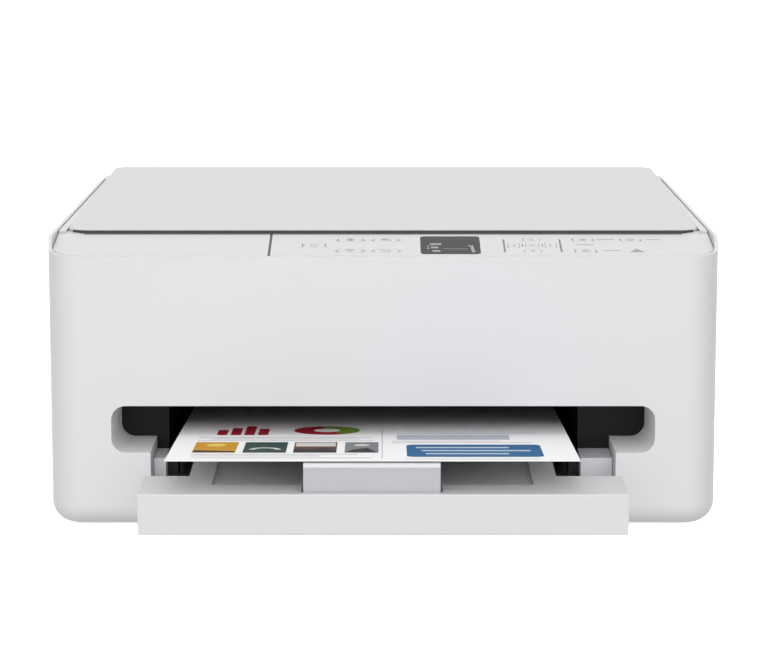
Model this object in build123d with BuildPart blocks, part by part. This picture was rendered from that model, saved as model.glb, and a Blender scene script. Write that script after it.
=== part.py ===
from build123d import *
import os
from math import acos, atan2, cos, degrees, hypot, pi, radians, sin, sqrt, tan

# Inkjet multifunction printer: a flatbed scanner over a printer with a front cassette.
# Millimetres, +Z up, the front faces -Y. The origin is on the desk, under the middle of the
# printer as it stands with its output tray drawn out.

os.makedirs("parts", exist_ok=True)

# The sheet, which sets the widths
SHEET_WIDTH = 215.9  # Letter
SHEET_LENGTH = 279.4
SHEET_THICKNESS = 0.4
SHEET_SLOPE = 4.04
SHEET_OVERHANG = 2.9  # front edge ahead of the tab's hinge
SHEET_OVER_TAB = 1.2  # its front edge curls up this far over the tab
PATH_CENTRE = -5.55  # the paper path lies left of the middle

# Driving dimensions of the body
SIDE_ROOM = 78.05  # what the body needs each side of the sheet, for gears and the parked carriage
BODY_DEPTH = 345.0
DESK_GAP = 2.0  # the casing stands this far over the desk
WALL = 2.0
FRONT_RADIUS = 18.0
REAR_RADIUS = 11.0
BASE_RADIUS = 12.0
BASE_LIP = 13.0  # how far the casing turns in under the printer
SEAM = 0.6  # gap between the casing and the scanner unit nested in it
FIT = 0.3  # gap between fixed mouldings that seat on each other
RUN = 0.05  # radial gap of a shaft in its bore

# Output tray and the recess that it comes out of
TRAY_REACH = 105.5  # crossbar ahead of the front wall when drawn out
RECESS_TALL = 26.3
RECESS_MARGIN = 35.1  # from the body's side to the recess
RECESS_TAPER = 1.5
RECESS_DEPTH = 47.0
RECESS_RADIUS = 8.0
BAY_MARGIN = 56.7  # from the body's side to the lower opening for tray and cassette
BAR_GAP = 1.9  # between the crossbar's end and the side of the opening
BAR_HEIGHT = 21.6
BAR_WALL = 4.0
SHELF_DEPTH = 44.6
SHELF_THICKNESS = 6.0
STEM_INSET = 10.0  # the tray's stem is this much narrower than the sheet, each side
STEM_DIP = 3.4  # the stem's rear lies this much lower than its front
DIP_START = 104.0
DIP_LENGTH = 16.0
POCKET_INSET = 13.1  # from the stem's edge to the pocket
POCKET_FRONT = 82.4  # front edge of the pocket ahead of the front wall
POCKET_DEPTH = 2.8
TAB_LEFT = -41.5
TAB_WIDTH = 71.3
TAB_HEIGHT = 15.5  # over the crossbar's top
TAB_THICKNESS = 3.4
TAB_REACH = 98.9  # its hinge ahead of the front wall
TAB_AXIS_DROP = 2.3
TAB_PIN_RADIUS = 1.1
TAB_PIN_LENGTH = 2.0
TAB_SIDE_GAP = 1.1

# Scanner unit
TUB_TALL = 28.0
TOP_FRAME_TALL = 15.0
FRONT_DROP = 9.2  # the front wall's top edge under the side walls' top edge
PANEL_BACK = 46.0  # rear edge of the operation panel behind the front wall
PANEL_RISE = 7.2  # how much the panel climbs to that edge
PANEL_THICKNESS = 2.2
BARREL_RADIUS = 14.0  # round rear edge about the hinge
HINGE_LIFT = 8.0  # the hinge over the scanner unit's floor
HINGE_PIN_RADIUS = 4.0
BEZEL_DROP = 3.8  # the bezel under the rim
BEZEL_THICKNESS = 2.5
GLASS_THICKNESS = 2.5
GLASS_LIP = 1.2
GLASS_MARGIN = 28.0  # from the body's side to the glass
GLASS_EDGE = 6.0  # how far the bezel covers the glass all round
GLASS_FRONT = 66.0
GLASS_REAR_MARGIN = 49.0  # from the glass to the back of the body

# Document cover
LID_MARGIN = 7.0
LID_FRONT = 48.0
LID_REAR_MARGIN = 4.0
LID_CLIMB = 5.3  # its rear edge over the rim
LID_GAP = 0.6
LID_FRONT_RADIUS = 12.0
LID_REAR_RADIUS = 8.0
LID_SKIN = 1.5
LID_AXIS_MARGIN = 7.5
LID_AXIS_DROP = 5.5
KNUCKLE_RADIUS = 4.0
KNUCKLE_PIN = 2.5
KNUCKLE_MARGIN = 66.0
KNUCKLE_WIDTH = 15.4
EAR_WIDTH = 4.0
STEP_LIFT = 4.0  # the top frame's step behind the lid's hinge, over the parting line

# Cassette
CASSETTE_TALL = 15.7
CASSETTE_ROOM = 8.5  # the cassette is this much wider than the sheet, each side
CASSETTE_MARGIN = 36.0  # from its rear end to the back of the body
CASSETTE_WALL = 1.6
CASSETTE_FACE = 4.0
TRAY_OVER_CASSETTE = 2.6
TRAY_TO_CASSETTE = 0.6
GUIDE_DEPTH = 215.0  # the width guides' pinion behind the front wall
GUIDE_THICKNESS = 1.5
GUIDE_DROP = 1.2  # the guides' top under the cassette's
RACK_MODULE = 1.5
RACK_PINION_TEETH = 14
RACK_HEIGHT = 2.2

# Print mechanism
CHASSIS_MARGIN = 14.0
SHEET_METAL = 1.2
CHASSIS_AHEAD = 12.0  # ahead of the eject roller
CHASSIS_BEHIND = 18.0  # behind the feed roller
CHASSIS_OVER = 5.0  # over the carriage
PLATEN_BELOW = 3.5  # under the carriage
PLATEN_AHEAD = 8.0  # from the eject roller to the platen
PLATEN_BEHIND = 12.0  # from the platen to the feed roller
PLATEN_THICKNESS = 9.0
ROLLER_DROP = 4.3  # the rollers' axes under the recess's top
ROLLER_RADIUS = 6.0
ROLLER_SHAFT = 3.0
FEED_MARGIN = 83.0  # from the feed roller to the back of the body
GEAR_MODULE = 1.0
FEED_TEETH = 40
IDLER_TEETH = 34
MOTOR_TEETH = 12
GEAR_WIDTH = 5.0
GEAR_OFFSET = 4.0
PAPER_SINK = 0.7  # the platen's ribs under the rollers' tops
RAIL_BEHIND = 2.0
RAIL_LIFT = 21.0  # over the carriage's floor
RAIL_RADIUS = 4.0
PARK_MARGIN = 52.0
CARRIAGE_HALF = 36.0
CARRIAGE_LENGTH = 57.0
CARRIAGE_TALL = 36.0
CARRIAGE_TO_RAIL = 8.0
BELT_AHEAD = 7.0  # ahead of the back plate
BELT_WIDTH = 5.0
BELT_DROP = 11.0  # under the carriage's top
BELT_THICKNESS = 0.8
PRESSURE_ANGLE = radians(20)
TOOTH_TIP = 0.9  # a gear tooth's height over the pitch circle, in modules
TOOTH_ROOT = 1.2
SPIKE_ROOT = 0.72  # a spur wheel's inner radius as a share of the outer
PULLEY_RADIUS = 6.0
PULLEY_TEETH = 14
MOTOR_PULLEY_INSET = 16.0
IDLER_PULLEY_INSET = 12.0
DECK_OVER = 2.8  # over the chassis
DECK_UNDER = 1.2  # under the scanner unit

# Derived widths
BODY_WIDTH = SHEET_WIDTH + 2 * SIDE_ROOM
HALF = BODY_WIDTH / 2
SHEET_LEFT = PATH_CENTRE - SHEET_WIDTH / 2
SHEET_RIGHT = PATH_CENTRE + SHEET_WIDTH / 2
NEST = WALL + SEAM
RECESS_HALF = HALF - RECESS_MARGIN
BAY_HALF = HALF - BAY_MARGIN
BAR_HALF = BAY_HALF - BAR_GAP
STEM_LEFT = SHEET_LEFT + STEM_INSET
STEM_RIGHT = SHEET_RIGHT - STEM_INSET
CASSETTE_LEFT = SHEET_LEFT - CASSETTE_ROOM
CASSETTE_RIGHT = SHEET_RIGHT + CASSETTE_ROOM
GLASS_WIDTH = BODY_WIDTH - 2 * GLASS_MARGIN
LID_HALF = HALF - LID_MARGIN
KNUCKLE_CENTRE = HALF - KNUCKLE_MARGIN
CHASSIS_HALF = HALF - CHASSIS_MARGIN
CARRIAGE_PARK = HALF - PARK_MARGIN
MOTOR_PULLEY_X = -CHASSIS_HALF + MOTOR_PULLEY_INSET
IDLER_PULLEY_X = CHASSIS_HALF - IDLER_PULLEY_INSET

# Derived depths
FRONT = (TRAY_REACH - BODY_DEPTH) / 2
REAR = FRONT + BODY_DEPTH
HINGE_Y = REAR - BARREL_RADIUS
EAR_FRONT = HINGE_Y - BARREL_RADIUS
GLASS_DEPTH = BODY_DEPTH - GLASS_FRONT - GLASS_REAR_MARGIN
LID_BACK = BODY_DEPTH - LID_REAR_MARGIN
LID_AXIS_DEPTH = BODY_DEPTH - LID_AXIS_MARGIN
CASSETTE_BACK = BODY_DEPTH - CASSETTE_MARGIN
FEED_DEPTH = BODY_DEPTH - FEED_MARGIN
EJECT_DEPTH = FEED_DEPTH - GEAR_MODULE * (FEED_TEETH + IDLER_TEETH)
CHASSIS_FRONT = EJECT_DEPTH - CHASSIS_AHEAD
CHASSIS_BACK = FEED_DEPTH + CHASSIS_BEHIND
PLATEN_FRONT = EJECT_DEPTH + PLATEN_AHEAD
PLATEN_BACK = FEED_DEPTH - PLATEN_BEHIND
RAIL_DEPTH = FEED_DEPTH + RAIL_BEHIND
CARRIAGE_BACK = RAIL_DEPTH - CARRIAGE_TO_RAIL
CARRIAGE_FRONT = CARRIAGE_BACK - CARRIAGE_LENGTH
BELT_FRONT = CHASSIS_BACK - BELT_AHEAD

# Derived heights, from the desk up
FLOOR_TOP = DESK_GAP + WALL
CASSETTE_HEIGHT = FLOOR_TOP + FIT + CASSETTE_TALL
GUIDE_TOP = CASSETTE_HEIGHT - GUIDE_DROP
BAR_LOW = CASSETTE_HEIGHT + TRAY_OVER_CASSETTE
RECESS_FLOOR = BAR_LOW + BAR_HEIGHT
RECESS_TOP = RECESS_FLOOR + RECESS_TALL
ROLLER_HEIGHT = RECESS_TOP - ROLLER_DROP
PLATEN_TOP = ROLLER_HEIGHT + ROLLER_RADIUS - PAPER_SINK
CARRIAGE_LOW = PLATEN_TOP + PLATEN_BELOW
CARRIAGE_TOP = CARRIAGE_LOW + CARRIAGE_TALL
RAIL_HEIGHT = CARRIAGE_LOW + RAIL_LIFT
BELT_HEIGHT = CARRIAGE_TOP - BELT_DROP
CHASSIS_TOP = CARRIAGE_TOP + CHASSIS_OVER
DECK_TOP = CHASSIS_TOP + DECK_OVER
CASE_FLOOR = DECK_TOP + DECK_UNDER
HINGE_HEIGHT = CASE_FLOOR + HINGE_LIFT
REAR_TOP = HINGE_HEIGHT - BARREL_RADIUS + WALL * 2
PARTING = CASE_FLOOR + TUB_TALL  # joint between the scanner's lower case and its top frame
RIM_HEIGHT = PARTING + TOP_FRAME_TALL  # top edge of the side walls over the desk
FRONT_TOP = RIM_HEIGHT - FRONT_DROP
BORDER_TOP = RIM_HEIGHT - SEAM
BEZEL_TOP = RIM_HEIGHT - BEZEL_DROP
REAR_STEP = PARTING + STEP_LIFT
LID_FRONT_TOP = RIM_HEIGHT
LID_BACK_TOP = RIM_HEIGHT + LID_CLIMB
LID_CEILING = RIM_HEIGHT - LID_SKIN
LID_AXIS_HEIGHT = RIM_HEIGHT - LID_AXIS_DROP
PANEL_ANGLE = degrees(atan2(PANEL_RISE, PANEL_BACK))


def at(depth):
    """The y of a place that lies a depth behind the front wall."""
    return FRONT + depth


def block(left, right, front, rear, low, high, mode=Mode.ADD):
    """A straight-sided block, given by its six faces, added to or cut from the open part."""
    with BuildSketch(Plane.XY.offset(low)) as face:
        with Locations(((left + right) / 2, (front + rear) / 2)):
            Rectangle(right - left, rear - front)
    extrude(face.sketch, amount=high - low, mode=mode)


def rod(radius, left, right, depth, height, mode=Mode.ADD):
    """A round bar or bore along X."""
    with BuildSketch(Plane.YZ.offset(left)) as face:
        with Locations((at(depth), height)):
            Circle(radius)
    extrude(face.sketch, amount=right - left, mode=mode)


def side_profile(points, left, right, mode=Mode.ADD):
    """A prism along X from an outline of (depth, height) points."""
    with BuildSketch(Plane.YZ.offset(left)) as face:
        with BuildLine():
            Polyline(*[(at(depth), height) for depth, height in points], close=True)
        make_face()
    extrude(face.sketch, amount=right - left, mode=mode)


def body_outline(inset, height):
    """Plan of the casing at a height, drawn in by an inset, rounder in front than behind."""
    with BuildSketch(Plane.XY.offset(height)) as outline:
        with Locations((0, (FRONT + REAR) / 2)):
            Rectangle(BODY_WIDTH - 2 * inset, BODY_DEPTH - 2 * inset)
        fillet(outline.vertices().group_by(Axis.Y)[0], max(FRONT_RADIUS - inset, 1.0))
        fillet(outline.vertices().group_by(Axis.Y)[-1], max(REAR_RADIUS - inset, 1.0))
    return outline.sketch


def gear_outline(plane, centre, teeth, module, tooth_gap, turn, bore):
    """A spur gear face: straight flanks from the involute's foot to its tip, thinned by a gap."""
    pitch = module * teeth / 2
    base = pitch * cos(PRESSURE_ANGLE)
    tip = pitch + TOOTH_TIP * module
    root = pitch - TOOTH_ROOT * module
    half_tooth = (pi * module / 2 - tooth_gap) / 2 / pitch
    widest = half_tooth + tan(PRESSURE_ANGLE) - PRESSURE_ANGLE
    slope = acos(base / tip)
    narrowest = widest - (tan(slope) - slope)
    points = []
    for index in range(teeth):
        middle = radians(turn + index * 360 / teeth)
        for radius, angle in ((root, -widest), (tip, -narrowest), (tip, narrowest), (root, widest)):
            points.append((radius * cos(middle + angle), radius * sin(middle + angle)))
    with BuildSketch(plane) as face:
        with Locations(centre):
            Polygon(*points, align=None)
            if bore:
                Circle(bore, mode=Mode.SUBTRACT)
    return face.sketch


def star_outline(plane, centre, radius, spikes):
    """A spiked wheel's face."""
    points = []
    for index in range(2 * spikes):
        reach = radius if index % 2 == 0 else radius * SPIKE_ROOT
        angle = pi * index / spikes
        points.append((reach * cos(angle), reach * sin(angle)))
    with BuildSketch(plane) as face:
        with Locations(centre):
            Polygon(*points, align=None)
    return face.sketch


def recess_outline(depth):
    """Front view of the recess at a depth."""
    taper = RECESS_TAPER * depth / RECESS_DEPTH
    with BuildSketch(Plane.XZ.offset(-at(depth))) as outline:
        with Locations((0, (RECESS_FLOOR + RECESS_TOP) / 2)):
            RectangleRounded(
                2 * (RECESS_HALF - taper),
                RECESS_TALL,
                RECESS_RADIUS,
            )
    return outline.sketch


# Outer casing: one moulding for the front, the sides and the rear corners
RIM_START = 24.0  # where the side rim reaches its full height
RIM_BLEND = 10.0
HOLLOW_CHAMFER = 6.0  # keeps the wall's thickness inside the round lower edge
REAR_OPENING_MARGIN = 26.0
REAR_OPENING_HALF = HALF - REAR_OPENING_MARGIN
REAR_OPENING_LOW = 14.0

with BuildPart() as casing_hollow:
    extrude(body_outline(WALL, FLOOR_TOP), amount=RIM_HEIGHT)
    chamfer(casing_hollow.edges().group_by(Axis.Z)[0], HOLLOW_CHAMFER)

with BuildPart() as outer_casing:
    extrude(body_outline(0, DESK_GAP), amount=RIM_HEIGHT - DESK_GAP)
    fillet(outer_casing.edges().group_by(Axis.Z)[0], BASE_RADIUS)
    add(casing_hollow.part, mode=Mode.SUBTRACT)
    extrude(body_outline(BASE_LIP, DESK_GAP), amount=FLOOR_TOP, mode=Mode.SUBTRACT)
    # the tapered sleeve of the recess and the two cheeks of the bay under it
    sleeve = RECESS_HALF + WALL
    block(-sleeve, sleeve, at(WALL / 2), at(RECESS_DEPTH), RECESS_FLOOR - WALL, RECESS_TOP + WALL)
    for side in (-1, 1):
        near, far = sorted((side * BAY_HALF, side * (BAY_HALF + WALL)))
        block(near, far, at(WALL / 2), at(RECESS_DEPTH), DESK_GAP, RECESS_FLOOR)
    loft([recess_outline(0), recess_outline(RECESS_DEPTH)], mode=Mode.SUBTRACT)
    block(
        -BAY_HALF,
        BAY_HALF,
        FRONT - WALL,
        at(RECESS_DEPTH + WALL),
        0,
        RECESS_FLOOR + RECESS_RADIUS,
        Mode.SUBTRACT,
    )
    # the top edge runs level along the sides and sweeps down round the front corners
    with BuildSketch(Plane.YZ.offset(-HALF - WALL)) as sweep_down:
        with BuildLine():
            run = Line((at(-WALL), FRONT_TOP), (at(0), FRONT_TOP))
            ramp = Line(
                run @ 1,
                (at(RIM_BLEND), FRONT_TOP + RIM_BLEND * tan(radians(PANEL_ANGLE))),
            )
            rise = Spline(ramp @ 1, (at(RIM_START), RIM_HEIGHT), tangents=(ramp % 1, (1, 0)))
            Polyline(rise @ 1, (at(RIM_START), RIM_HEIGHT + 20), (at(-WALL), RIM_HEIGHT + 20), run @ 0)
        make_face()
    extrude(sweep_down.sketch, amount=BODY_WIDTH + 2 * WALL, mode=Mode.SUBTRACT)
    # room for the round rear edge of the scanner unit
    rod(BARREL_RADIUS + SEAM, -HALF - 1, HALF + 1, HINGE_Y - FRONT, HINGE_HEIGHT, Mode.SUBTRACT)
    block(-HALF - 1, HALF + 1, EAR_FRONT - SEAM, REAR + 1, HINGE_HEIGHT, RIM_HEIGHT + 1, Mode.SUBTRACT)
    block(-HALF - 1, HALF + 1, HINGE_Y, REAR + 1, REAR_TOP, RIM_HEIGHT, Mode.SUBTRACT)
    block(
        -REAR_OPENING_HALF,
        REAR_OPENING_HALF,
        REAR - WALL - 1,
        REAR + 1,
        REAR_OPENING_LOW,
        RIM_HEIGHT,
        Mode.SUBTRACT,
    )
outer_casing.part.label = "outer_casing"
export_step(outer_casing.part, "parts/outer_casing.step")

# Bottom case: the pan under the mechanism, with a sill across the cassette bay
PAN_WALL_TOP = 34.0
PAN_WALL = 1.6
RAIL_RIB = 1.5
RAIL_RIB_TOP = 14.0
FOOT_RADIUS = 9.0
FOOT_MARGIN = 43.0
FOOT_X = HALF - FOOT_MARGIN
FOOT_FRONT = 42.0
FOOT_REAR = BODY_DEPTH - 37.0
foot_places = [(side * FOOT_X, at(depth)) for side in (-1, 1) for depth in (FOOT_FRONT, FOOT_REAR)]

with BuildPart() as bottom_case:
    extrude(body_outline(BASE_LIP + FIT, DESK_GAP), amount=WALL)
    pan = body_outline(BASE_LIP + FIT, FLOOR_TOP)
    extrude(pan, amount=PAN_WALL_TOP - FLOOR_TOP)
    extrude(body_outline(BASE_LIP + FIT + PAN_WALL, FLOOR_TOP), amount=PAN_WALL_TOP, mode=Mode.SUBTRACT)
    # the front is open for the cassette and clears the cheeks of the bay
    cheek = BAY_HALF + WALL + FIT
    block(-cheek, cheek, FRONT - 1, at(RECESS_DEPTH + FIT), FLOOR_TOP, PAN_WALL_TOP + 1, Mode.SUBTRACT)
    for side in (-1, 1):
        near, far = sorted((side * (BAY_HALF - FIT), side * cheek))
        block(near, far, FRONT - 1, at(RECESS_DEPTH + FIT), 0, FLOOR_TOP + 1, Mode.SUBTRACT)
    sill_half = BAY_HALF - FIT
    block(-sill_half, sill_half, at(FIT), at(BASE_LIP + PAN_WALL), DESK_GAP, FLOOR_TOP)
    # ribs that guide the cassette along both sides
    for left in (CASSETTE_LEFT - 2 * FIT - RAIL_RIB, CASSETTE_RIGHT + 2 * FIT):
        block(left, left + RAIL_RIB, at(RECESS_DEPTH + 4), at(CASSETTE_BACK + 6), FLOOR_TOP, RAIL_RIB_TOP)
bottom_case.part.label = "bottom_case"
export_step(bottom_case.part, "parts/bottom_case.step")

with BuildPart() as rubber_feet:
    with BuildSketch():
        with Locations(*foot_places):
            Circle(FOOT_RADIUS)
    extrude(amount=DESK_GAP)
rubber_feet.part.label = "rubber_feet"
export_step(rubber_feet.part, "parts/rubber_feet.step")

# Rear panel, with the two arms that carry the scanner unit on their pins
ARM_MARGIN = 36.0
ARM_WIDTH = 4.0
ARM_INNER = HALF - ARM_MARGIN
ARM_OUTER = ARM_INNER + ARM_WIDTH
ARM_HEAD = 8.0
ARM_FOOT = HINGE_HEIGHT - 30.0
PIN_REACH = 8.0
COVER_MARGIN = 60.4
COVER_HALF = HALF - COVER_MARGIN
COVER_LOW = 18.4
COVER_TOP = CASE_FLOOR - 16.4
COVER_GAP = 0.4
INLET_MARGIN = 38.0
INLET_X = HALF - INLET_MARGIN
INLET_HEIGHT = 44.0
INLET_WIDTH = 22.0
INLET_TALL = 14.0
USB_X = -INLET_X
USB_HEIGHT = 44.0
USB_WIDTH = 13.0
USB_TALL = 12.0
COVER_AXIS_IN = 2.2
COVER_AXIS_BACK = 1.2
COVER_PIN = 1.2

with BuildPart() as rear_panel:
    panel_half = REAR_OPENING_HALF - FIT
    block(-panel_half, panel_half, REAR - WALL, REAR, REAR_OPENING_LOW + FIT, REAR_TOP)
    for side in (-1, 1):
        near, far = sorted((side * ARM_INNER, side * ARM_OUTER))
        hinge_depth = HINGE_Y - FRONT
        side_profile(
            (
                (hinge_depth - ARM_HEAD, HINGE_HEIGHT),
                (hinge_depth - ARM_HEAD, ARM_FOOT + 10),
                (BODY_DEPTH - WALL, ARM_FOOT),
                (BODY_DEPTH - WALL, REAR_TOP - 4),
                (hinge_depth + ARM_HEAD, REAR_TOP),
                (hinge_depth + ARM_HEAD, HINGE_HEIGHT),
            ),
            near,
            far,
        )
        rod(ARM_HEAD, near, far, hinge_depth, HINGE_HEIGHT)
        pin_near, pin_far = sorted((side * (ARM_INNER + 1), side * (ARM_OUTER + PIN_REACH)))
        rod(HINGE_PIN_RADIUS, pin_near, pin_far, hinge_depth, HINGE_HEIGHT)
    # the door's lower corner swings down past its own edge as it opens
    axis_height = COVER_LOW + COVER_AXIS_IN
    corner_swing = hypot(WALL + COVER_AXIS_BACK, COVER_AXIS_IN)
    cover_gap = COVER_HALF + COVER_GAP
    block(
        -cover_gap,
        cover_gap,
        REAR - WALL - 1,
        REAR + 1,
        axis_height - corner_swing - FIT,
        COVER_TOP + COVER_GAP,
        Mode.SUBTRACT,
    )
    # ears that hold the pins of the transport cover
    for side in (-1, 1):
        near, far = sorted((side * (COVER_HALF + COVER_GAP), side * (COVER_HALF + COVER_GAP + 3)))
        block(near, far, REAR - WALL - 4, REAR - WALL, COVER_LOW - 2, axis_height + 5)
        rod(
            COVER_PIN + RUN,
            near - 1,
            far + 1,
            BODY_DEPTH - WALL - COVER_AXIS_BACK,
            axis_height,
            Mode.SUBTRACT,
        )
    for x, height, width, tall in (
        (INLET_X, INLET_HEIGHT, INLET_WIDTH, INLET_TALL),
        (USB_X, USB_HEIGHT, USB_WIDTH, USB_TALL),
    ):
        block(
            x - width / 2 - FIT,
            x + width / 2 + FIT,
            REAR - WALL - 1,
            REAR + 1,
            height - tall / 2 - FIT,
            height + tall / 2 + FIT,
            Mode.SUBTRACT,
        )
rear_panel.part.label = "rear_panel"
export_step(rear_panel.part, "parts/rear_panel.step")

# Transport cover: the door behind the turning path, with the ribs that turn the paper
TURN_DEPTH = CASSETTE_BACK
TURN_HEIGHT = 41.0
TURN_RADIUS = 31.5
RIB_LOW = 24.0
RIB_TOP = 66.0
RIB_COUNT = 5
RIB_THICKNESS = 1.6
GRIP_HALF = 22.0

with BuildPart() as transport_cover:
    block(-COVER_HALF, COVER_HALF, REAR - WALL, REAR, COVER_LOW, COVER_TOP)
    rib_span = 2 * (COVER_HALF - 16)
    for index in range(RIB_COUNT):
        x = -rib_span / 2 + index * rib_span / (RIB_COUNT - 1)
        with BuildSketch(Plane.YZ.offset(x - RIB_THICKNESS / 2)) as rib:
            with Locations((at((TURN_DEPTH + BODY_DEPTH - WALL) / 2), (RIB_LOW + RIB_TOP) / 2)):
                Rectangle(BODY_DEPTH - WALL - TURN_DEPTH, RIB_TOP - RIB_LOW)
            with Locations((at(TURN_DEPTH), TURN_HEIGHT)):
                Circle(TURN_RADIUS, mode=Mode.SUBTRACT)
        extrude(rib.sketch, amount=RIB_THICKNESS)
    # hinge pins at the lower corners
    for side in (-1, 1):
        near, far = sorted((side * (COVER_HALF - 4), side * (COVER_HALF + COVER_GAP + 2.5)))
        rod(COVER_PIN, near, far, BODY_DEPTH - WALL - COVER_AXIS_BACK, axis_height)
        near, far = sorted((side * (COVER_HALF - 4), side * COVER_HALF))
        block(near, far, REAR - WALL - 2.6, REAR - WALL, axis_height - 1.4, axis_height + 1.4)
    # a shallow grip along the top edge
    block(-GRIP_HALF, GRIP_HALF, REAR - 0.9, REAR + 1, COVER_TOP - 12, COVER_TOP - 3, Mode.SUBTRACT)
    fillet(transport_cover.edges().filter_by(Axis.Y).group_by(Axis.Z)[-1], 0.9)
transport_cover.part.label = "transport_cover"
export_step(transport_cover.part, "parts/transport_cover.step")

# Exit frame: the black inner frame behind the recess and the tunnel for the printed sheets
FRAME_THICKNESS = 2.5
FRAME_LAP = 2.1
FRAME_HALF = RECESS_HALF + FRAME_LAP
FRAME_LOW = BAR_LOW + 1.4
FRAME_TOP = RECESS_TOP + 3.5
TUNNEL_GAP = 0.4
TUNNEL_LEFT = CASSETTE_LEFT - TUNNEL_GAP
TUNNEL_RIGHT = CASSETTE_RIGHT + TUNNEL_GAP
TUNNEL_TOP = RECESS_TOP - 4.5
TUNNEL_WALL = 2.0
TUNNEL_END = CHASSIS_FRONT
REAR_RAIL_TOP = PLATEN_TOP - PLATEN_THICKNESS - 4.5
RAILS_END = CHASSIS_BACK + 6.0

with BuildPart() as exit_frame:
    block(
        -FRAME_HALF,
        FRAME_HALF,
        at(RECESS_DEPTH + FIT),
        at(RECESS_DEPTH + FIT + FRAME_THICKNESS),
        FRAME_LOW,
        FRAME_TOP,
    )
    for inner, outer in (
        (TUNNEL_LEFT - TUNNEL_WALL, TUNNEL_LEFT),
        (TUNNEL_RIGHT, TUNNEL_RIGHT + TUNNEL_WALL),
    ):
        block(inner, outer, at(RECESS_DEPTH + FIT), at(TUNNEL_END), FRAME_LOW, TUNNEL_TOP + TUNNEL_WALL)
        block(inner, outer, at(TUNNEL_END), at(RAILS_END), FRAME_LOW, REAR_RAIL_TOP)
    block(
        TUNNEL_LEFT - TUNNEL_WALL,
        TUNNEL_RIGHT + TUNNEL_WALL,
        at(RECESS_DEPTH + FIT),
        at(TUNNEL_END),
        TUNNEL_TOP,
        TUNNEL_TOP + TUNNEL_WALL,
    )
    block(
        TUNNEL_LEFT,
        TUNNEL_RIGHT,
        at(RECESS_DEPTH - 1),
        at(RECESS_DEPTH + 6),
        FRAME_LOW - 1,
        TUNNEL_TOP,
        Mode.SUBTRACT,
    )
exit_frame.part.label = "exit_frame"
export_step(exit_frame.part, "parts/exit_frame.step")

# Tray guides: a pale step block each side of the bay, and the ledges that the tray slides on
BLOCK_FRONT = 20.0
BLOCK_TOP = RECESS_FLOOR - 7.3
BLOCK_LOW = FRAME_LOW
LEDGE_LAP = 5.0
LEDGE_TOP = RECESS_FLOOR - SHELF_THICKNESS - FIT
LEDGE_THICKNESS = 4.0
ARM_PIVOT_DEPTH = FEED_DEPTH - 10.0
ARM_PIVOT_HEIGHT = LEDGE_TOP - 8.9
PIVOT_RADIUS = 2.5

with BuildPart() as tray_guides:
    for outer, inner, ledge in (
        (-BAY_HALF + FIT, TUNNEL_LEFT, STEM_LEFT + LEDGE_LAP),
        (BAY_HALF - FIT, TUNNEL_RIGHT, STEM_RIGHT - LEDGE_LAP),
    ):
        left, right = sorted((outer, inner))
        block(left, right, at(BLOCK_FRONT), at(RECESS_DEPTH), BLOCK_LOW, BLOCK_TOP)
        side = 1 if outer > 0 else -1
        left, right = sorted((inner - side * FIT, ledge))
        block(left, right, at(BLOCK_FRONT + 12), at(RAILS_END), LEDGE_TOP - LEDGE_THICKNESS, LEDGE_TOP)
        # a web ties the ledge to its block
        left, right = sorted((inner + side * 2, inner - side * 6))
        block(left, right, at(BLOCK_FRONT + 12), at(RECESS_DEPTH), BLOCK_LOW, LEDGE_TOP - 1)
        # a boss under the ledge carries the pickup arm's shaft
        left, right = sorted((ledge, ledge + side * 6))
        block(
            left,
            right,
            at(ARM_PIVOT_DEPTH - 5),
            at(ARM_PIVOT_DEPTH + 5),
            ARM_PIVOT_HEIGHT - 5,
            LEDGE_TOP - 1,
        )
        rod(PIVOT_RADIUS + RUN, left - 1, right + 1, ARM_PIVOT_DEPTH, ARM_PIVOT_HEIGHT, Mode.SUBTRACT)
tray_guides.part.label = "tray_guides"
export_step(tray_guides.part, "parts/tray_guides.step")

# Output tray: a T of one crossbar and a long stem, with a pocket for the folded paper support
tab_right = TAB_LEFT + TAB_WIDTH
notch_left = TAB_LEFT - TAB_SIDE_GAP
notch_right = tab_right + TAB_SIDE_GAP
tab_axis = RECESS_FLOOR - TAB_AXIS_DROP
tab_radius = TAB_THICKNESS / 2
tray_floor = RECESS_FLOOR - SHELF_THICKNESS
NOTCH_SKIN = 1.4
STEM_END = EJECT_DEPTH - 10.0
POCKET_LEFT = STEM_LEFT + POCKET_INSET
POCKET_RIGHT = STEM_RIGHT - POCKET_INSET
TRAY_RIBS = 5
TRAY_RIB = 1.4
RIB_INSET = 12.0

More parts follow.
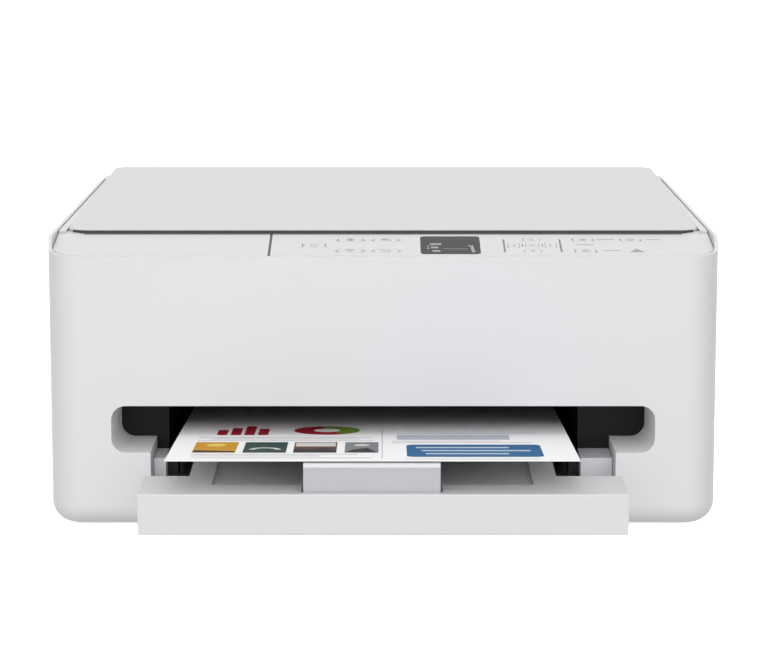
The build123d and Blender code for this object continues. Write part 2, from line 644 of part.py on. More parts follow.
with BuildPart() as output_tray:
    side_profile(
        (
            (-TRAY_REACH, BAR_LOW),
            (-TRAY_REACH, RECESS_FLOOR),
            (-TRAY_REACH + SHELF_DEPTH, RECESS_FLOOR),
            (-TRAY_REACH + SHELF_DEPTH, tray_floor),
            (-TRAY_REACH + BAR_WALL, tray_floor),
            (-TRAY_REACH + BAR_WALL, BAR_LOW),
        ),
        -BAR_HALF,
        BAR_HALF,
    )
    side_profile(
        (
            (-TRAY_REACH + BAR_WALL, tray_floor),
            (-TRAY_REACH + BAR_WALL, RECESS_FLOOR),
            (DIP_START, RECESS_FLOOR),
            (DIP_START + DIP_LENGTH, RECESS_FLOOR - STEM_DIP),
            (STEM_END, RECESS_FLOOR - STEM_DIP),
            (STEM_END, tray_floor),
        ),
        STEM_LEFT,
        STEM_RIGHT,
    )
    fillet(output_tray.edges().filter_by(Axis.X).sort_by(Axis.Y)[0:2], 0.8)
    block(
        POCKET_LEFT,
        POCKET_RIGHT,
        at(-POCKET_FRONT),
        at(DIP_START + DIP_LENGTH),
        RECESS_FLOOR - POCKET_DEPTH,
        RECESS_FLOOR + 1,
        Mode.SUBTRACT,
    )
    tab_tip = TAB_REACH - TAB_HEIGHT - TAB_AXIS_DROP
    block(
        notch_left,
        notch_right,
        at(-TAB_REACH - tab_radius - FIT),
        at(-tab_tip + FIT),
        tray_floor + NOTCH_SKIN,
        RECESS_FLOOR + 1,
        Mode.SUBTRACT,
    )
    rod(
        TAB_PIN_RADIUS + RUN,
        notch_left - TAB_PIN_LENGTH,
        notch_right + TAB_PIN_LENGTH,
        -TAB_REACH,
        tab_axis,
        Mode.SUBTRACT,
    )
    # ribs that stiffen the crossbar from behind, between the ledges that the tray slides on
    rib_span = STEM_RIGHT - STEM_LEFT - 2 * RIB_INSET
    for index in range(TRAY_RIBS):
        x = STEM_LEFT + RIB_INSET + index * rib_span / (TRAY_RIBS - 1)
        side_profile(
            (
                (-TRAY_REACH + BAR_WALL, BAR_LOW + 1.5),
                (-TRAY_REACH + BAR_WALL, tray_floor),
                (-TRAY_REACH + SHELF_DEPTH - 8, tray_floor),
            ),
            x - TRAY_RIB / 2,
            x + TRAY_RIB / 2,
        )
output_tray.part.label = "output_tray"
export_step(output_tray.part, "parts/output_tray.step")

# Paper support: the flap that stands up at the end of the tray and folds back into the pocket
with BuildPart() as paper_support:
    block(
        TAB_LEFT,
        tab_right,
        at(-TAB_REACH - tab_radius),
        at(-TAB_REACH + tab_radius),
        tab_axis,
        RECESS_FLOOR + TAB_HEIGHT,
    )
    rod(tab_radius, TAB_LEFT, tab_right, -TAB_REACH, tab_axis)
    top_edges = paper_support.edges().filter_by(Axis.X).group_by(Axis.Z)[-1]
    fillet(top_edges, tab_radius * 0.7)
    rod(
        TAB_PIN_RADIUS,
        notch_left - TAB_PIN_LENGTH + FIT,
        notch_right + TAB_PIN_LENGTH - FIT,
        -TAB_REACH,
        tab_axis,
    )
paper_support.part.label = "paper_support"
export_step(paper_support.part, "parts/paper_support.step")

# Printed sheet, resting on the paper support in front and on the stem behind
sheet_front = -TAB_REACH - SHEET_OVERHANG
sheet_low = RECESS_FLOOR + TAB_HEIGHT + SHEET_OVER_TAB
slope = radians(SHEET_SLOPE)

with BuildPart() as printed_sheet:
    with BuildSketch(Plane.YZ.offset(PATH_CENTRE - SHEET_WIDTH / 2)) as sheet_edge:
        with BuildLine():
            front_low = (at(sheet_front), sheet_low)
            back_low = (
                at(sheet_front) + SHEET_LENGTH * cos(slope),
                sheet_low - SHEET_LENGTH * sin(slope),
            )
            Polyline(
                front_low,
                back_low,
                (back_low[0] + SHEET_THICKNESS * sin(slope), back_low[1] + SHEET_THICKNESS * cos(slope)),
                (front_low[0] + SHEET_THICKNESS * sin(slope), front_low[1] + SHEET_THICKNESS * cos(slope)),
                close=True,
            )
        make_face()
    extrude(sheet_edge.sketch, amount=SHEET_WIDTH)
printed_sheet.part.label = "printed_sheet"
export_step(printed_sheet.part, "parts/printed_sheet.step")

# Cassette under the tray, with its front flush in the bay
cassette_low = FLOOR_TOP + FIT
cassette_floor = cassette_low + CASSETTE_WALL
cassette_face_top = BAR_LOW - TRAY_TO_CASSETTE
PICKUP_NOTCH = 26.0
GRIP_WIDTH = 90.0
LENGTH_SLOT = 3.0
SLOT_FRONT = 16.0
SLOT_END = 30.0  # from the slot's end to the guides' pinion

with BuildPart() as cassette:
    block(CASSETTE_LEFT, CASSETTE_RIGHT, at(0), at(CASSETTE_BACK), cassette_low, CASSETTE_HEIGHT)
    block(
        CASSETTE_LEFT + CASSETTE_WALL,
        CASSETTE_RIGHT - CASSETTE_WALL,
        at(CASSETTE_FACE),
        at(CASSETTE_BACK - CASSETTE_WALL),
        cassette_floor,
        CASSETTE_HEIGHT + 1,
        Mode.SUBTRACT,
    )
    block(-BAR_HALF, BAR_HALF, at(0), at(CASSETTE_FACE), cassette_low, cassette_face_top)
    fillet(cassette.edges().filter_by(Axis.X).group_by(Axis.Y)[0].sort_by(Axis.Z)[-1], 0.8)
    # the rear wall is open where the pickup roller stands
    block(
        PATH_CENTRE - PICKUP_NOTCH,
        PATH_CENTRE + PICKUP_NOTCH,
        at(CASSETTE_BACK - CASSETTE_WALL - 1),
        at(CASSETTE_BACK + 1),
        cassette_floor,
        CASSETTE_HEIGHT + 1,
        Mode.SUBTRACT,
    )
    # finger grip under the front edge
    block(
        PATH_CENTRE - GRIP_WIDTH / 2,
        PATH_CENTRE + GRIP_WIDTH / 2,
        at(-1),
        at(CASSETTE_FACE - 1.2),
        cassette_low - 1,
        cassette_low + 4,
        Mode.SUBTRACT,
    )
    # slot in the floor along which the length guide runs
    block(
        PATH_CENTRE - LENGTH_SLOT,
        PATH_CENTRE + LENGTH_SLOT,
        at(SLOT_FRONT),
        at(GUIDE_DEPTH - SLOT_END),
        cassette_low - 1,
        cassette_floor + 1,
        Mode.SUBTRACT,
    )
cassette.part.label = "cassette"
export_step(cassette.part, "parts/cassette.step")

# Width guides of the cassette: two plates whose racks mesh with one pinion
rack_pitch_radius = RACK_MODULE * RACK_PINION_TEETH / 2
rack_low = cassette_floor + FIT
RACK_BODY = 5.0
RACK_TOOTH_GAP = 0.5
RACK_START = -58.0
RACK_STOP = 8.0
GUIDE_LENGTH = 60.0
GUIDE_FOOT = 9.0
PAPER_SIDE_GAP = 0.4
sheet_half = SHEET_WIDTH / 2 + PAPER_SIDE_GAP

for name, side in (("width_guide_left", -1), ("width_guide_right", 1)):
    with BuildPart() as width_guide:
        face_x = PATH_CENTRE + side * sheet_half
        left, right = sorted((face_x, face_x + side * GUIDE_THICKNESS))
        block(
            left,
            right,
            at(GUIDE_DEPTH - GUIDE_LENGTH / 2),
            at(GUIDE_DEPTH + GUIDE_LENGTH / 2),
            rack_low,
            GUIDE_TOP,
        )
        # foot and the rack that reaches to the pinion
        rack_line = GUIDE_DEPTH + side * rack_pitch_radius
        rack_outer = rack_line + side * (1.25 * RACK_MODULE + RACK_BODY)
        rack_inner = rack_line + side * 1.25 * RACK_MODULE
        front, rear = sorted((rack_outer, rack_inner))
        left, right = sorted((face_x, PATH_CENTRE - side * RACK_STOP))
        block(left, right, at(front), at(rear), rack_low, rack_low + RACK_HEIGHT)
        left, right = sorted((face_x, face_x - side * GUIDE_FOOT))
        block(
            left,
            right,
            at(GUIDE_DEPTH - GUIDE_LENGTH / 2 + 4),
            at(GUIDE_DEPTH + GUIDE_LENGTH / 2 - 4),
            rack_low,
            rack_low + RACK_HEIGHT,
        )
        pitch = pi * RACK_MODULE
        half = (pitch / 2 - RACK_TOOTH_GAP) / 2
        lean = tan(radians(20))
        with BuildSketch(Plane.XY.offset(rack_low)) as teeth:
            for index in range(int((RACK_STOP - RACK_START) / pitch)):
                offset = side * (-RACK_STOP + pitch / 2 + index * pitch)
                x = PATH_CENTRE + round(offset / pitch) * pitch
                root = at(rack_inner)
                reach = -side * 1.0 * RACK_MODULE
                low_half = half + 1.25 * RACK_MODULE * lean
                top_half = half - 1.0 * RACK_MODULE * lean
                Polygon(
                    (x - low_half, root),
                    (x - top_half, at(rack_line) + reach * 0.9),
                    (x + top_half, at(rack_line) + reach * 0.9),
                    (x + low_half, root),
                    (x + low_half, root + side * 0.4),
                    (x - low_half, root + side * 0.4),
                    align=None,
                )
        extrude(teeth.sketch, amount=RACK_HEIGHT)
    width_guide.part.label = name
    export_step(width_guide.part, f"parts/{name}.step")

with BuildPart() as guide_pinion:
    extrude(
        gear_outline(
            Plane.XY.offset(rack_low),
            (PATH_CENTRE, at(GUIDE_DEPTH)),
            RACK_PINION_TEETH,
            RACK_MODULE,
            RACK_TOOTH_GAP,
            0,
            0,
        ),
        amount=RACK_HEIGHT,
    )
    with BuildSketch(Plane.XY.offset(rack_low + RACK_HEIGHT)) as cap:
        with Locations((PATH_CENTRE, at(GUIDE_DEPTH))):
            Circle(rack_pitch_radius * 0.45)
    extrude(cap.sketch, amount=0.8)
guide_pinion.part.label = "guide_pinion"
export_step(guide_pinion.part, "parts/guide_pinion.step")

# Length guide, which the paper's front edge stands against
LENGTH_FRONT = 21.0
LENGTH_HALF = 26.0
LENGTH_BASE = 16.0

with BuildPart() as length_guide:
    side_profile(
        (
            (LENGTH_FRONT - LENGTH_BASE + 2, rack_low),
            (LENGTH_FRONT, rack_low),
            (LENGTH_FRONT, GUIDE_TOP),
            (LENGTH_FRONT - 2, GUIDE_TOP),
            (LENGTH_FRONT - 2, rack_low + 3),
            (LENGTH_FRONT - 6, rack_low + 2),
            (LENGTH_FRONT - LENGTH_BASE + 2, rack_low + 1.6),
        ),
        PATH_CENTRE - LENGTH_HALF,
        PATH_CENTRE + LENGTH_HALF,
    )
    block(
        PATH_CENTRE - LENGTH_SLOT + FIT,
        PATH_CENTRE + LENGTH_SLOT - FIT,
        at(LENGTH_FRONT - 3),
        at(LENGTH_FRONT),
        cassette_low + FIT,
        rack_low,
    )
length_guide.part.label = "length_guide"
export_step(length_guide.part, "parts/length_guide.step")

# Lower case of the scanner unit: a tub with a round rear edge about the hinge
TUB_FRONT_LIFT = 8.0
SLOT_SIDE = 2.0
BARREL_HOLLOW_HALF = ARM_INNER - 6.0

with BuildPart() as tub_hollow:
    side_profile(
        (
            (NEST + WALL, PARTING + 1),
            (NEST + WALL, CASE_FLOOR + TUB_FRONT_LIFT),
            (NEST + WALL + TUB_FRONT_LIFT - 1, CASE_FLOOR + WALL),
            (EAR_FRONT - FRONT - WALL, CASE_FLOOR + WALL),
            (EAR_FRONT - FRONT - WALL, PARTING + 1),
        ),
        -HALF,
        HALF,
    )
    extrude(body_outline(NEST + WALL, CASE_FLOOR - 10), amount=60, mode=Mode.INTERSECT)
    side_profile(
        (
            (EAR_FRONT - FRONT + WALL, PARTING + 1),
            (EAR_FRONT - FRONT + WALL, CASE_FLOOR + WALL),
            (BODY_DEPTH - BARREL_RADIUS, CASE_FLOOR + WALL),
            (BODY_DEPTH - WALL, HINGE_HEIGHT),
            (BODY_DEPTH - WALL, PARTING + 1),
        ),
        -BARREL_HOLLOW_HALF,
        BARREL_HOLLOW_HALF,
    )


def scanner_outline(height):
    """Plan of the scanner unit: nested in the casing, and full width behind it."""
    with BuildSketch(Plane.XY.offset(height)) as outline:
        add(body_outline(NEST, 0))
        with Locations((0, (EAR_FRONT + REAR) / 2)):
            Rectangle(BODY_WIDTH, REAR - EAR_FRONT)
        fillet(outline.vertices().group_by(Axis.Y)[-1], REAR_RADIUS)
    return outline.sketch


with BuildPart() as scanner_case:
    with BuildSketch(Plane.YZ.offset(-HALF)) as case_profile:
        with BuildLine():
            meet = sqrt(BARREL_RADIUS**2 - (HINGE_HEIGHT - CASE_FLOOR) ** 2)
            front_wall = Polyline(
                (HINGE_Y - meet, CASE_FLOOR),
                (at(NEST + TUB_FRONT_LIFT), CASE_FLOOR),
                (at(NEST), CASE_FLOOR + TUB_FRONT_LIFT),
                (at(NEST), PARTING),
                (REAR, PARTING),
                (REAR, HINGE_HEIGHT),
            )
            angle = radians(315)
            ThreePointArc(
                front_wall @ 1,
                (HINGE_Y + BARREL_RADIUS * cos(angle), HINGE_HEIGHT + BARREL_RADIUS * sin(angle)),
                front_wall @ 0,
            )
        make_face()
    extrude(case_profile.sketch, amount=BODY_WIDTH)
    extrude(scanner_outline(CASE_FLOOR - 10), amount=60, mode=Mode.INTERSECT)
    # under the hinge line the ears keep to the round edge
    with BuildSketch(Plane.YZ.offset(-HALF - 1)) as ear_relief:
        with Locations((EAR_FRONT, CASE_FLOOR)):
            Rectangle(2 * BARREL_RADIUS, 2 * (HINGE_HEIGHT - CASE_FLOOR))
        with Locations((HINGE_Y, HINGE_HEIGHT)):
            Circle(BARREL_RADIUS, mode=Mode.SUBTRACT)
    extrude(ear_relief.sketch, amount=NEST + 1, mode=Mode.SUBTRACT)
    mirrored = Plane.YZ.offset(HALF - NEST)
    with BuildSketch(mirrored) as ear_relief_right:
        add(ear_relief.sketch_local)
    extrude(ear_relief_right.sketch, amount=NEST + 1, mode=Mode.SUBTRACT)
    add(tub_hollow.part, mode=Mode.SUBTRACT)
    for side in (-1, 1):
        near, far = sorted((side * (ARM_INNER - SLOT_SIDE), side * (ARM_OUTER + SLOT_SIDE)))
        block(
            near,
            far,
            EAR_FRONT - 6,
            REAR + 1,
            HINGE_HEIGHT - 20,
            HINGE_HEIGHT + BARREL_RADIUS,
            Mode.SUBTRACT,
        )
        near, far = sorted((side * ARM_OUTER, side * (ARM_OUTER + PIN_REACH + 1)))
        rod(HINGE_PIN_RADIUS + RUN, near, far, HINGE_Y - FRONT, HINGE_HEIGHT, Mode.SUBTRACT)
scanner_case.part.label = "scanner_case"
export_step(scanner_case.part, "parts/scanner_case.step")

# Top frame of the scanner unit: a sunk bezel round the glass, and a border level with the rim
bezel_low = BEZEL_TOP - BEZEL_THICKNESS
glass_top = BEZEL_TOP - GLASS_LIP
glass_half = GLASS_WIDTH / 2
bezel_back = LID_AXIS_DEPTH - KNUCKLE_RADIUS - 1.0

with BuildPart() as frame_hollow:
    extrude(body_outline(NEST + WALL, PARTING - 1), amount=bezel_low - PARTING + 1)
    block(
        -HALF,
        HALF,
        at(PANEL_BACK + 1.2 + WALL),
        at(bezel_back - WALL),
        PARTING - 1,
        RIM_HEIGHT,
        Mode.INTERSECT,
    )

with BuildPart() as scanner_frame:
    extrude(scanner_outline(PARTING), amount=BORDER_TOP - PARTING)
    block(-HALF, HALF, FRONT - 1, at(PANEL_BACK + 1.2), PARTING - 1, RIM_HEIGHT + 1, Mode.SUBTRACT)
    add(frame_hollow.part, mode=Mode.SUBTRACT)
    # the recess in which the document cover lies
    with BuildSketch(Plane.XY.offset(BEZEL_TOP)) as lid_recess:
        with Locations((0, (at(PANEL_BACK) + REAR + 10) / 2)):
            Rectangle(2 * (LID_HALF + LID_GAP), REAR + 10 - at(PANEL_BACK))
    extrude(lid_recess.sketch, amount=20, mode=Mode.SUBTRACT)
    block(
        -LID_HALF - LID_GAP,
        LID_HALF + LID_GAP,
        at(bezel_back),
        REAR + 1,
        REAR_STEP,
        RIM_HEIGHT,
        Mode.SUBTRACT,
    )
    # window for the glass and the rebate that holds it from below
    block(
        -glass_half + GLASS_EDGE,
        glass_half - GLASS_EDGE,
        at(GLASS_FRONT + GLASS_EDGE),
        at(GLASS_FRONT + GLASS_DEPTH - GLASS_EDGE),
        PARTING,
        RIM_HEIGHT,
        Mode.SUBTRACT,
    )
    block(
        -glass_half - FIT,
        glass_half + FIT,
        at(GLASS_FRONT - FIT),
        at(GLASS_FRONT + GLASS_DEPTH + FIT),
        PARTING,
        glass_top,
        Mode.SUBTRACT,
    )
    # two pairs of ears hold the cover's hinge pins
    for side in (-1, 1):
        for offset in (-1, 1):
            x = side * KNUCKLE_CENTRE + offset * (KNUCKLE_WIDTH / 2 + FIT + EAR_WIDTH / 2)
            left, right = x - EAR_WIDTH / 2, x + EAR_WIDTH / 2
            rod(KNUCKLE_RADIUS, left, right, LID_AXIS_DEPTH, LID_AXIS_HEIGHT)
            block(
                left,
                right,
                at(LID_AXIS_DEPTH - KNUCKLE_RADIUS),
                at(LID_AXIS_DEPTH + KNUCKLE_RADIUS),
                REAR_STEP - 1,
                LID_AXIS_HEIGHT,
            )
            rod(KNUCKLE_PIN + RUN, left, right, LID_AXIS_DEPTH, LID_AXIS_HEIGHT, Mode.SUBTRACT)
scanner_frame.part.label = "scanner_frame"
export_step(scanner_frame.part, "parts/scanner_frame.step")

with BuildPart() as scanner_glass:
    block(
        -glass_half,
        glass_half,
        at(GLASS_FRONT),
        at(GLASS_FRONT + GLASS_DEPTH),
        glass_top - GLASS_THICKNESS,
        glass_top,
    )
scanner_glass.part.label = "scanner_glass"
export_step(scanner_glass.part, "parts/scanner_glass.step")

# Scan rail and the scan bar that runs along it under the glass
SCAN_RAIL_AHEAD = 1.0  # ahead of the glass's middle
SCAN_RAIL_DEPTH = GLASS_FRONT + GLASS_DEPTH / 2 - SCAN_RAIL_AHEAD
SCAN_RAIL_HEIGHT = CASE_FLOOR + 14.0
SCAN_RAIL_RADIUS = 3.0
SCAN_BAR_WIDTH = 20.0
SCAN_BAR_PAST = 3.0  # past the glass, front and rear
SCAN_BAR_LENGTH = GLASS_DEPTH + 2 * SCAN_BAR_PAST
SCAN_HOME_MARGIN = 12.0  # parked this far in from the glass's left edge
SCAN_HOME = SCAN_HOME_MARGIN - glass_half
SCAN_CARRIER_HALF = 14.0

with BuildPart() as scan_rail:
    rail_half = HALF - NEST - WALL
    rod(SCAN_RAIL_RADIUS, -rail_half, rail_half, SCAN_RAIL_DEPTH, SCAN_RAIL_HEIGHT)
scan_rail.part.label = "scan_rail"
export_step(scan_rail.part, "parts/scan_rail.step")

with BuildPart() as scan_bar:
    bar_top = glass_top - GLASS_THICKNESS - 0.5
    bar_front = GLASS_FRONT + GLASS_DEPTH / 2 - SCAN_BAR_LENGTH / 2
    with BuildSketch(Plane.XZ.offset(-at(bar_front))) as bar_section:
        with BuildLine():
            Polyline(
                (SCAN_HOME - SCAN_BAR_WIDTH / 2, bar_top - 13),
                (SCAN_HOME - SCAN_BAR_WIDTH / 2, bar_top - 3),
                (SCAN_HOME - SCAN_BAR_WIDTH / 2 + 3, bar_top),
                (SCAN_HOME + SCAN_BAR_WIDTH / 2 - 3, bar_top),
                (SCAN_HOME + SCAN_BAR_WIDTH / 2, bar_top - 3),
                (SCAN_HOME + SCAN_BAR_WIDTH / 2, bar_top - 13),
                close=True,
            )
        make_face()
    extrude(bar_section.sketch, amount=-SCAN_BAR_LENGTH)
    # lens slot along the top
    block(
        SCAN_HOME - 2,
        SCAN_HOME + 2,
        at(bar_front + 8),
        at(bar_front + SCAN_BAR_LENGTH - 8),
        bar_top - 1.5,
        bar_top + 1,
        Mode.SUBTRACT,
    )
    # carrier that rides on the rail
    block(
        SCAN_HOME - SCAN_CARRIER_HALF,
        SCAN_HOME + SCAN_CARRIER_HALF,
        at(SCAN_RAIL_DEPTH - 14),
        at(SCAN_RAIL_DEPTH + 14),
        SCAN_RAIL_HEIGHT - 6,
        bar_top - 12,
    )
    rod(
        SCAN_RAIL_RADIUS + RUN,
        SCAN_HOME - 20,
        SCAN_HOME + 20,
        SCAN_RAIL_DEPTH,
        SCAN_RAIL_HEIGHT,
        Mode.SUBTRACT,
    )
scan_bar.part.label = "scan_bar"
export_step(scan_bar.part, "parts/scan_bar.step")

# Operation panel: the sloping cover in front of the glass
panel_plane = Plane(
    origin=(0, FRONT, FRONT_TOP),
    x_dir=(1, 0, 0),
    z_dir=(0, -sin(radians(PANEL_ANGLE)), cos(radians(PANEL_ANGLE))),
)
KEY_GAP = 0.25
KEYS_MARGIN = 47.3  # from the body's side to the last key
LAST_KEY = HALF - KEYS_MARGIN
SLIT_X = LAST_KEY - 201.7
SLIT_WIDTH = 1.4
SLIT_DEPTH = 0.8
DISPLAY_X = LAST_KEY - 101.3
DISPLAY_WIDTH = 33.0
DISPLAY_START = 5.8
DISPLAY_LENGTH = 35.0
DISPLAY_RADIUS = 2.5
DISPLAY_THICKNESS = 1.8
KEY_ROWS = (12.1, 22.9, 33.7)
START_COLUMN = LAST_KEY - 26.7
ARROW_COLUMN = LAST_KEY - 55.7
ARROW_STEP = 10.35  # from the middle of the arrows to the left and right ones
MENU_STEP = 20.0
MENU_RIGHT = LAST_KEY - 137.1
MENU_LEFT = MENU_RIGHT - MENU_STEP
POWER_COLUMN = MENU_LEFT - MENU_STEP
MENU_CAP = (13.0, 7.0)
START_CAP = (11.0, 7.0)
# name, place across, row up the slope, width and length of each key cap
keys = (
    ("power_key", POWER_COLUMN, KEY_ROWS[1], 13.0, 9.0),
    ("menu_key_rear_left", MENU_LEFT, KEY_ROWS[2], *MENU_CAP),
    ("menu_key_rear_right", MENU_RIGHT, KEY_ROWS[2], *MENU_CAP),
    ("menu_key_front_left", MENU_LEFT, KEY_ROWS[0], *MENU_CAP),
    ("menu_key_front_right", MENU_RIGHT, KEY_ROWS[0], *MENU_CAP),
    ("left_key", ARROW_COLUMN - ARROW_STEP, KEY_ROWS[1], 6.0, 9.0),
    ("right_key", ARROW_COLUMN + ARROW_STEP, KEY_ROWS[1], 6.0, 9.0),
    ("up_key", ARROW_COLUMN, KEY_ROWS[2], 9.0, 5.5),
    ("down_key", ARROW_COLUMN, KEY_ROWS[0], 9.0, 5.5),
    ("ok_key", ARROW_COLUMN, KEY_ROWS[1], 7.0, 6.0),
    ("stop_key", START_COLUMN, KEY_ROWS[2], *START_CAP),
    ("black_key", START_COLUMN, KEY_ROWS[0], *START_CAP),
    ("colour_key", LAST_KEY, KEY_ROWS[2], *START_CAP),
)
KEY_FLANGE = 0.8
KEY_STEM = 1.6
KEY_STEM_LENGTH = 3.2

with BuildPart() as panel_hollow:
    extrude(body_outline(NEST + WALL, PARTING - 1), amount=30)
    block(-HALF, HALF, FRONT, at(PANEL_BACK - WALL), 0, RIM_HEIGHT + 20, Mode.INTERSECT)
    with BuildSketch(panel_plane.offset(-PANEL_THICKNESS)) as under:
        Rectangle(2 * BODY_WIDTH, BODY_WIDTH)
    extrude(under.sketch, amount=60, mode=Mode.SUBTRACT)

with BuildPart() as operation_panel:
    extrude(body_outline(NEST, PARTING + FIT), amount=30)
    block(-HALF, HALF, FRONT, at(PANEL_BACK), 0, RIM_HEIGHT + 20, Mode.INTERSECT)
    with BuildSketch(panel_plane) as over:
        Rectangle(2 * BODY_WIDTH, BODY_WIDTH)
    extrude(over.sketch, amount=60, mode=Mode.SUBTRACT)
    add(panel_hollow.part, mode=Mode.SUBTRACT)
    # the window of the display, the openings of the keys and the groove beside them
    with BuildSketch(panel_plane) as openings:
        with Locations((DISPLAY_X, DISPLAY_START + DISPLAY_LENGTH / 2)):
            RectangleRounded(
                DISPLAY_WIDTH + KEY_GAP,
                DISPLAY_LENGTH + KEY_GAP,
                DISPLAY_RADIUS + KEY_GAP / 2,
            )
        for name, x, row, width, length in keys:
            with Locations((x, row)):
                Rectangle(width + 2 * KEY_GAP, length + 2 * KEY_GAP)
    extrude(openings.sketch, amount=-2 * PANEL_THICKNESS, mode=Mode.SUBTRACT)
    with BuildSketch(panel_plane) as groove:
        with Locations((SLIT_X, PANEL_BACK / 2)):
            Rectangle(SLIT_WIDTH, 2 * PANEL_BACK)
    extrude(groove.sketch, amount=-SLIT_DEPTH, mode=Mode.SUBTRACT)
operation_panel.part.label = "operation_panel"
export_step(operation_panel.part, "parts/operation_panel.step")

with BuildPart() as display:
    with BuildSketch(panel_plane) as pane:
        with Locations((DISPLAY_X, DISPLAY_START + DISPLAY_LENGTH / 2)):
            RectangleRounded(DISPLAY_WIDTH - KEY_GAP, DISPLAY_LENGTH - KEY_GAP, DISPLAY_RADIUS)
    extrude(pane.sketch, amount=-DISPLAY_THICKNESS)
display.part.label = "display"
export_step(display.part, "parts/display.step")

# Key caps, each with a flange that keeps it under the panel and a stem towards its switch
for name, x, row, width, length in keys:
    with BuildPart() as key:
        with BuildSketch(panel_plane) as cap:
            with Locations((x, row)):
                Rectangle(width, length)
        extrude(cap.sketch, amount=-PANEL_THICKNESS - 0.1)
        with BuildSketch(panel_plane.offset(-PANEL_THICKNESS - 0.1)) as flange:
            with Locations((x, row)):
                Rectangle(width + 2 * KEY_FLANGE, length + 2 * KEY_FLANGE)
        extrude(flange.sketch, amount=-KEY_FLANGE)
        with BuildSketch(panel_plane.offset(-PANEL_THICKNESS - 0.1 - KEY_FLANGE)) as stem:
            with Locations((x, row)):
                Rectangle(2 * KEY_STEM, 2 * KEY_STEM)
        extrude(stem.sketch, amount=-KEY_STEM_LENGTH)
    key.part.label = name
    export_step(key.part, f"parts/{name}.step")

# Document cover: a wedge that climbs to the rear, hollow under its middle for the pressing pad
PAD_HALF = glass_half - 2.0
PAD_FRONT = GLASS_FRONT - 4.0
PAD_BACK = GLASS_FRONT + GLASS_DEPTH + 4.0
PAD_LOW = BEZEL_TOP + 0.4
RECESS_EDGE = 6.0

with BuildPart() as lid_shell:
    lid_low = BEZEL_TOP + LID_GAP
    side_profile(
        (
            (LID_FRONT, lid_low),
            (LID_FRONT, LID_FRONT_TOP),
            (LID_BACK, LID_BACK_TOP),
            (LID_BACK, lid_low),
        ),
        -LID_HALF,
        LID_HALF,
    )
    corners = lid_shell.edges().filter_by(Axis.Z)
    fillet(corners.group_by(Axis.Y)[0], LID_FRONT_RADIUS)
    corners = lid_shell.edges().filter_by(Axis.Z)
    fillet(corners.group_by(Axis.Y)[-1], LID_REAR_RADIUS)
    fillet(lid_shell.faces().sort_by(Axis.Z)[-1].edges(), 0.9)
    block(
        -LID_HALF + RECESS_EDGE,
        LID_HALF - RECESS_EDGE,
        at(LID_FRONT + RECESS_EDGE),
        at(LID_AXIS_DEPTH - KNUCKLE_RADIUS - 1.5),
        lid_low - 1,
        LID_CEILING,
        Mode.SUBTRACT,
    )
    for side in (-1, 1):
        hinge_half = KNUCKLE_WIDTH / 2 + 2 * FIT + EAR_WIDTH
        block(
            side * KNUCKLE_CENTRE - hinge_half,
            side * KNUCKLE_CENTRE + hinge_half,
            at(LID_AXIS_DEPTH - KNUCKLE_RADIUS - 2),
            REAR + 1,
            lid_low - 1,
            LID_AXIS_HEIGHT + KNUCKLE_RADIUS + FIT,
            Mode.SUBTRACT,
        )
lid_shell.part.label = "lid_shell"
export_step(lid_shell.part, "parts/lid_shell.step")

with BuildPart() as lid_pad:
    block(-PAD_HALF, PAD_HALF, at(PAD_FRONT), at(PAD_BACK), PAD_LOW, LID_CEILING)
lid_pad.part.label = "lid_pad"
export_step(lid_pad.part, "parts/lid_pad.step")

# Hinges of the document cover: a knuckle with its pin, on a leaf under the cover
LEAF_LENGTH = 22.0

with BuildPart() as lid_hinges:
    for side in (-1, 1):
        left = side * KNUCKLE_CENTRE - KNUCKLE_WIDTH / 2
        right = side * KNUCKLE_CENTRE + KNUCKLE_WIDTH / 2
        rod(KNUCKLE_RADIUS, left, right, LID_AXIS_DEPTH, LID_AXIS_HEIGHT)
        block(
            left,
            right,
            at(LID_AXIS_DEPTH - LEAF_LENGTH),
            at(LID_AXIS_DEPTH),
            LID_CEILING - 1.9,
            LID_CEILING,
        )
        rod(
            KNUCKLE_PIN,
            left - FIT - EAR_WIDTH,
            right + FIT + EAR_WIDTH,
            LID_AXIS_DEPTH,
            LID_AXIS_HEIGHT,
        )
lid_hinges.part.label = "lid_hinges"
export_step(lid_hinges.part, "parts/lid_hinges.step")

# Chassis: a bent sheet-metal frame that carries rail, rollers and motors
BACK_PLATE_LOW = CARRIAGE_LOW + 5.0
MOTOR_SHAFT = 1.6
AXLE_STUB = 2.0
MOTOR_ANGLE = 225.0  # the feed motor's pinion lies below and ahead of the feed roller
motor_distance = GEAR_MODULE * (FEED_TEETH + MOTOR_TEETH) / 2
feed_motor_depth = FEED_DEPTH + motor_distance * cos(radians(MOTOR_ANGLE))
feed_motor_height = ROLLER_HEIGHT + motor_distance * sin(radians(MOTOR_ANGLE))
idler_depth = FEED_DEPTH - GEAR_MODULE * (FEED_TEETH + IDLER_TEETH) / 2
FLANGE_TURN = 9.0
SHAFT_WINDOW = 4.5  # half the square opening for a motor's shaft

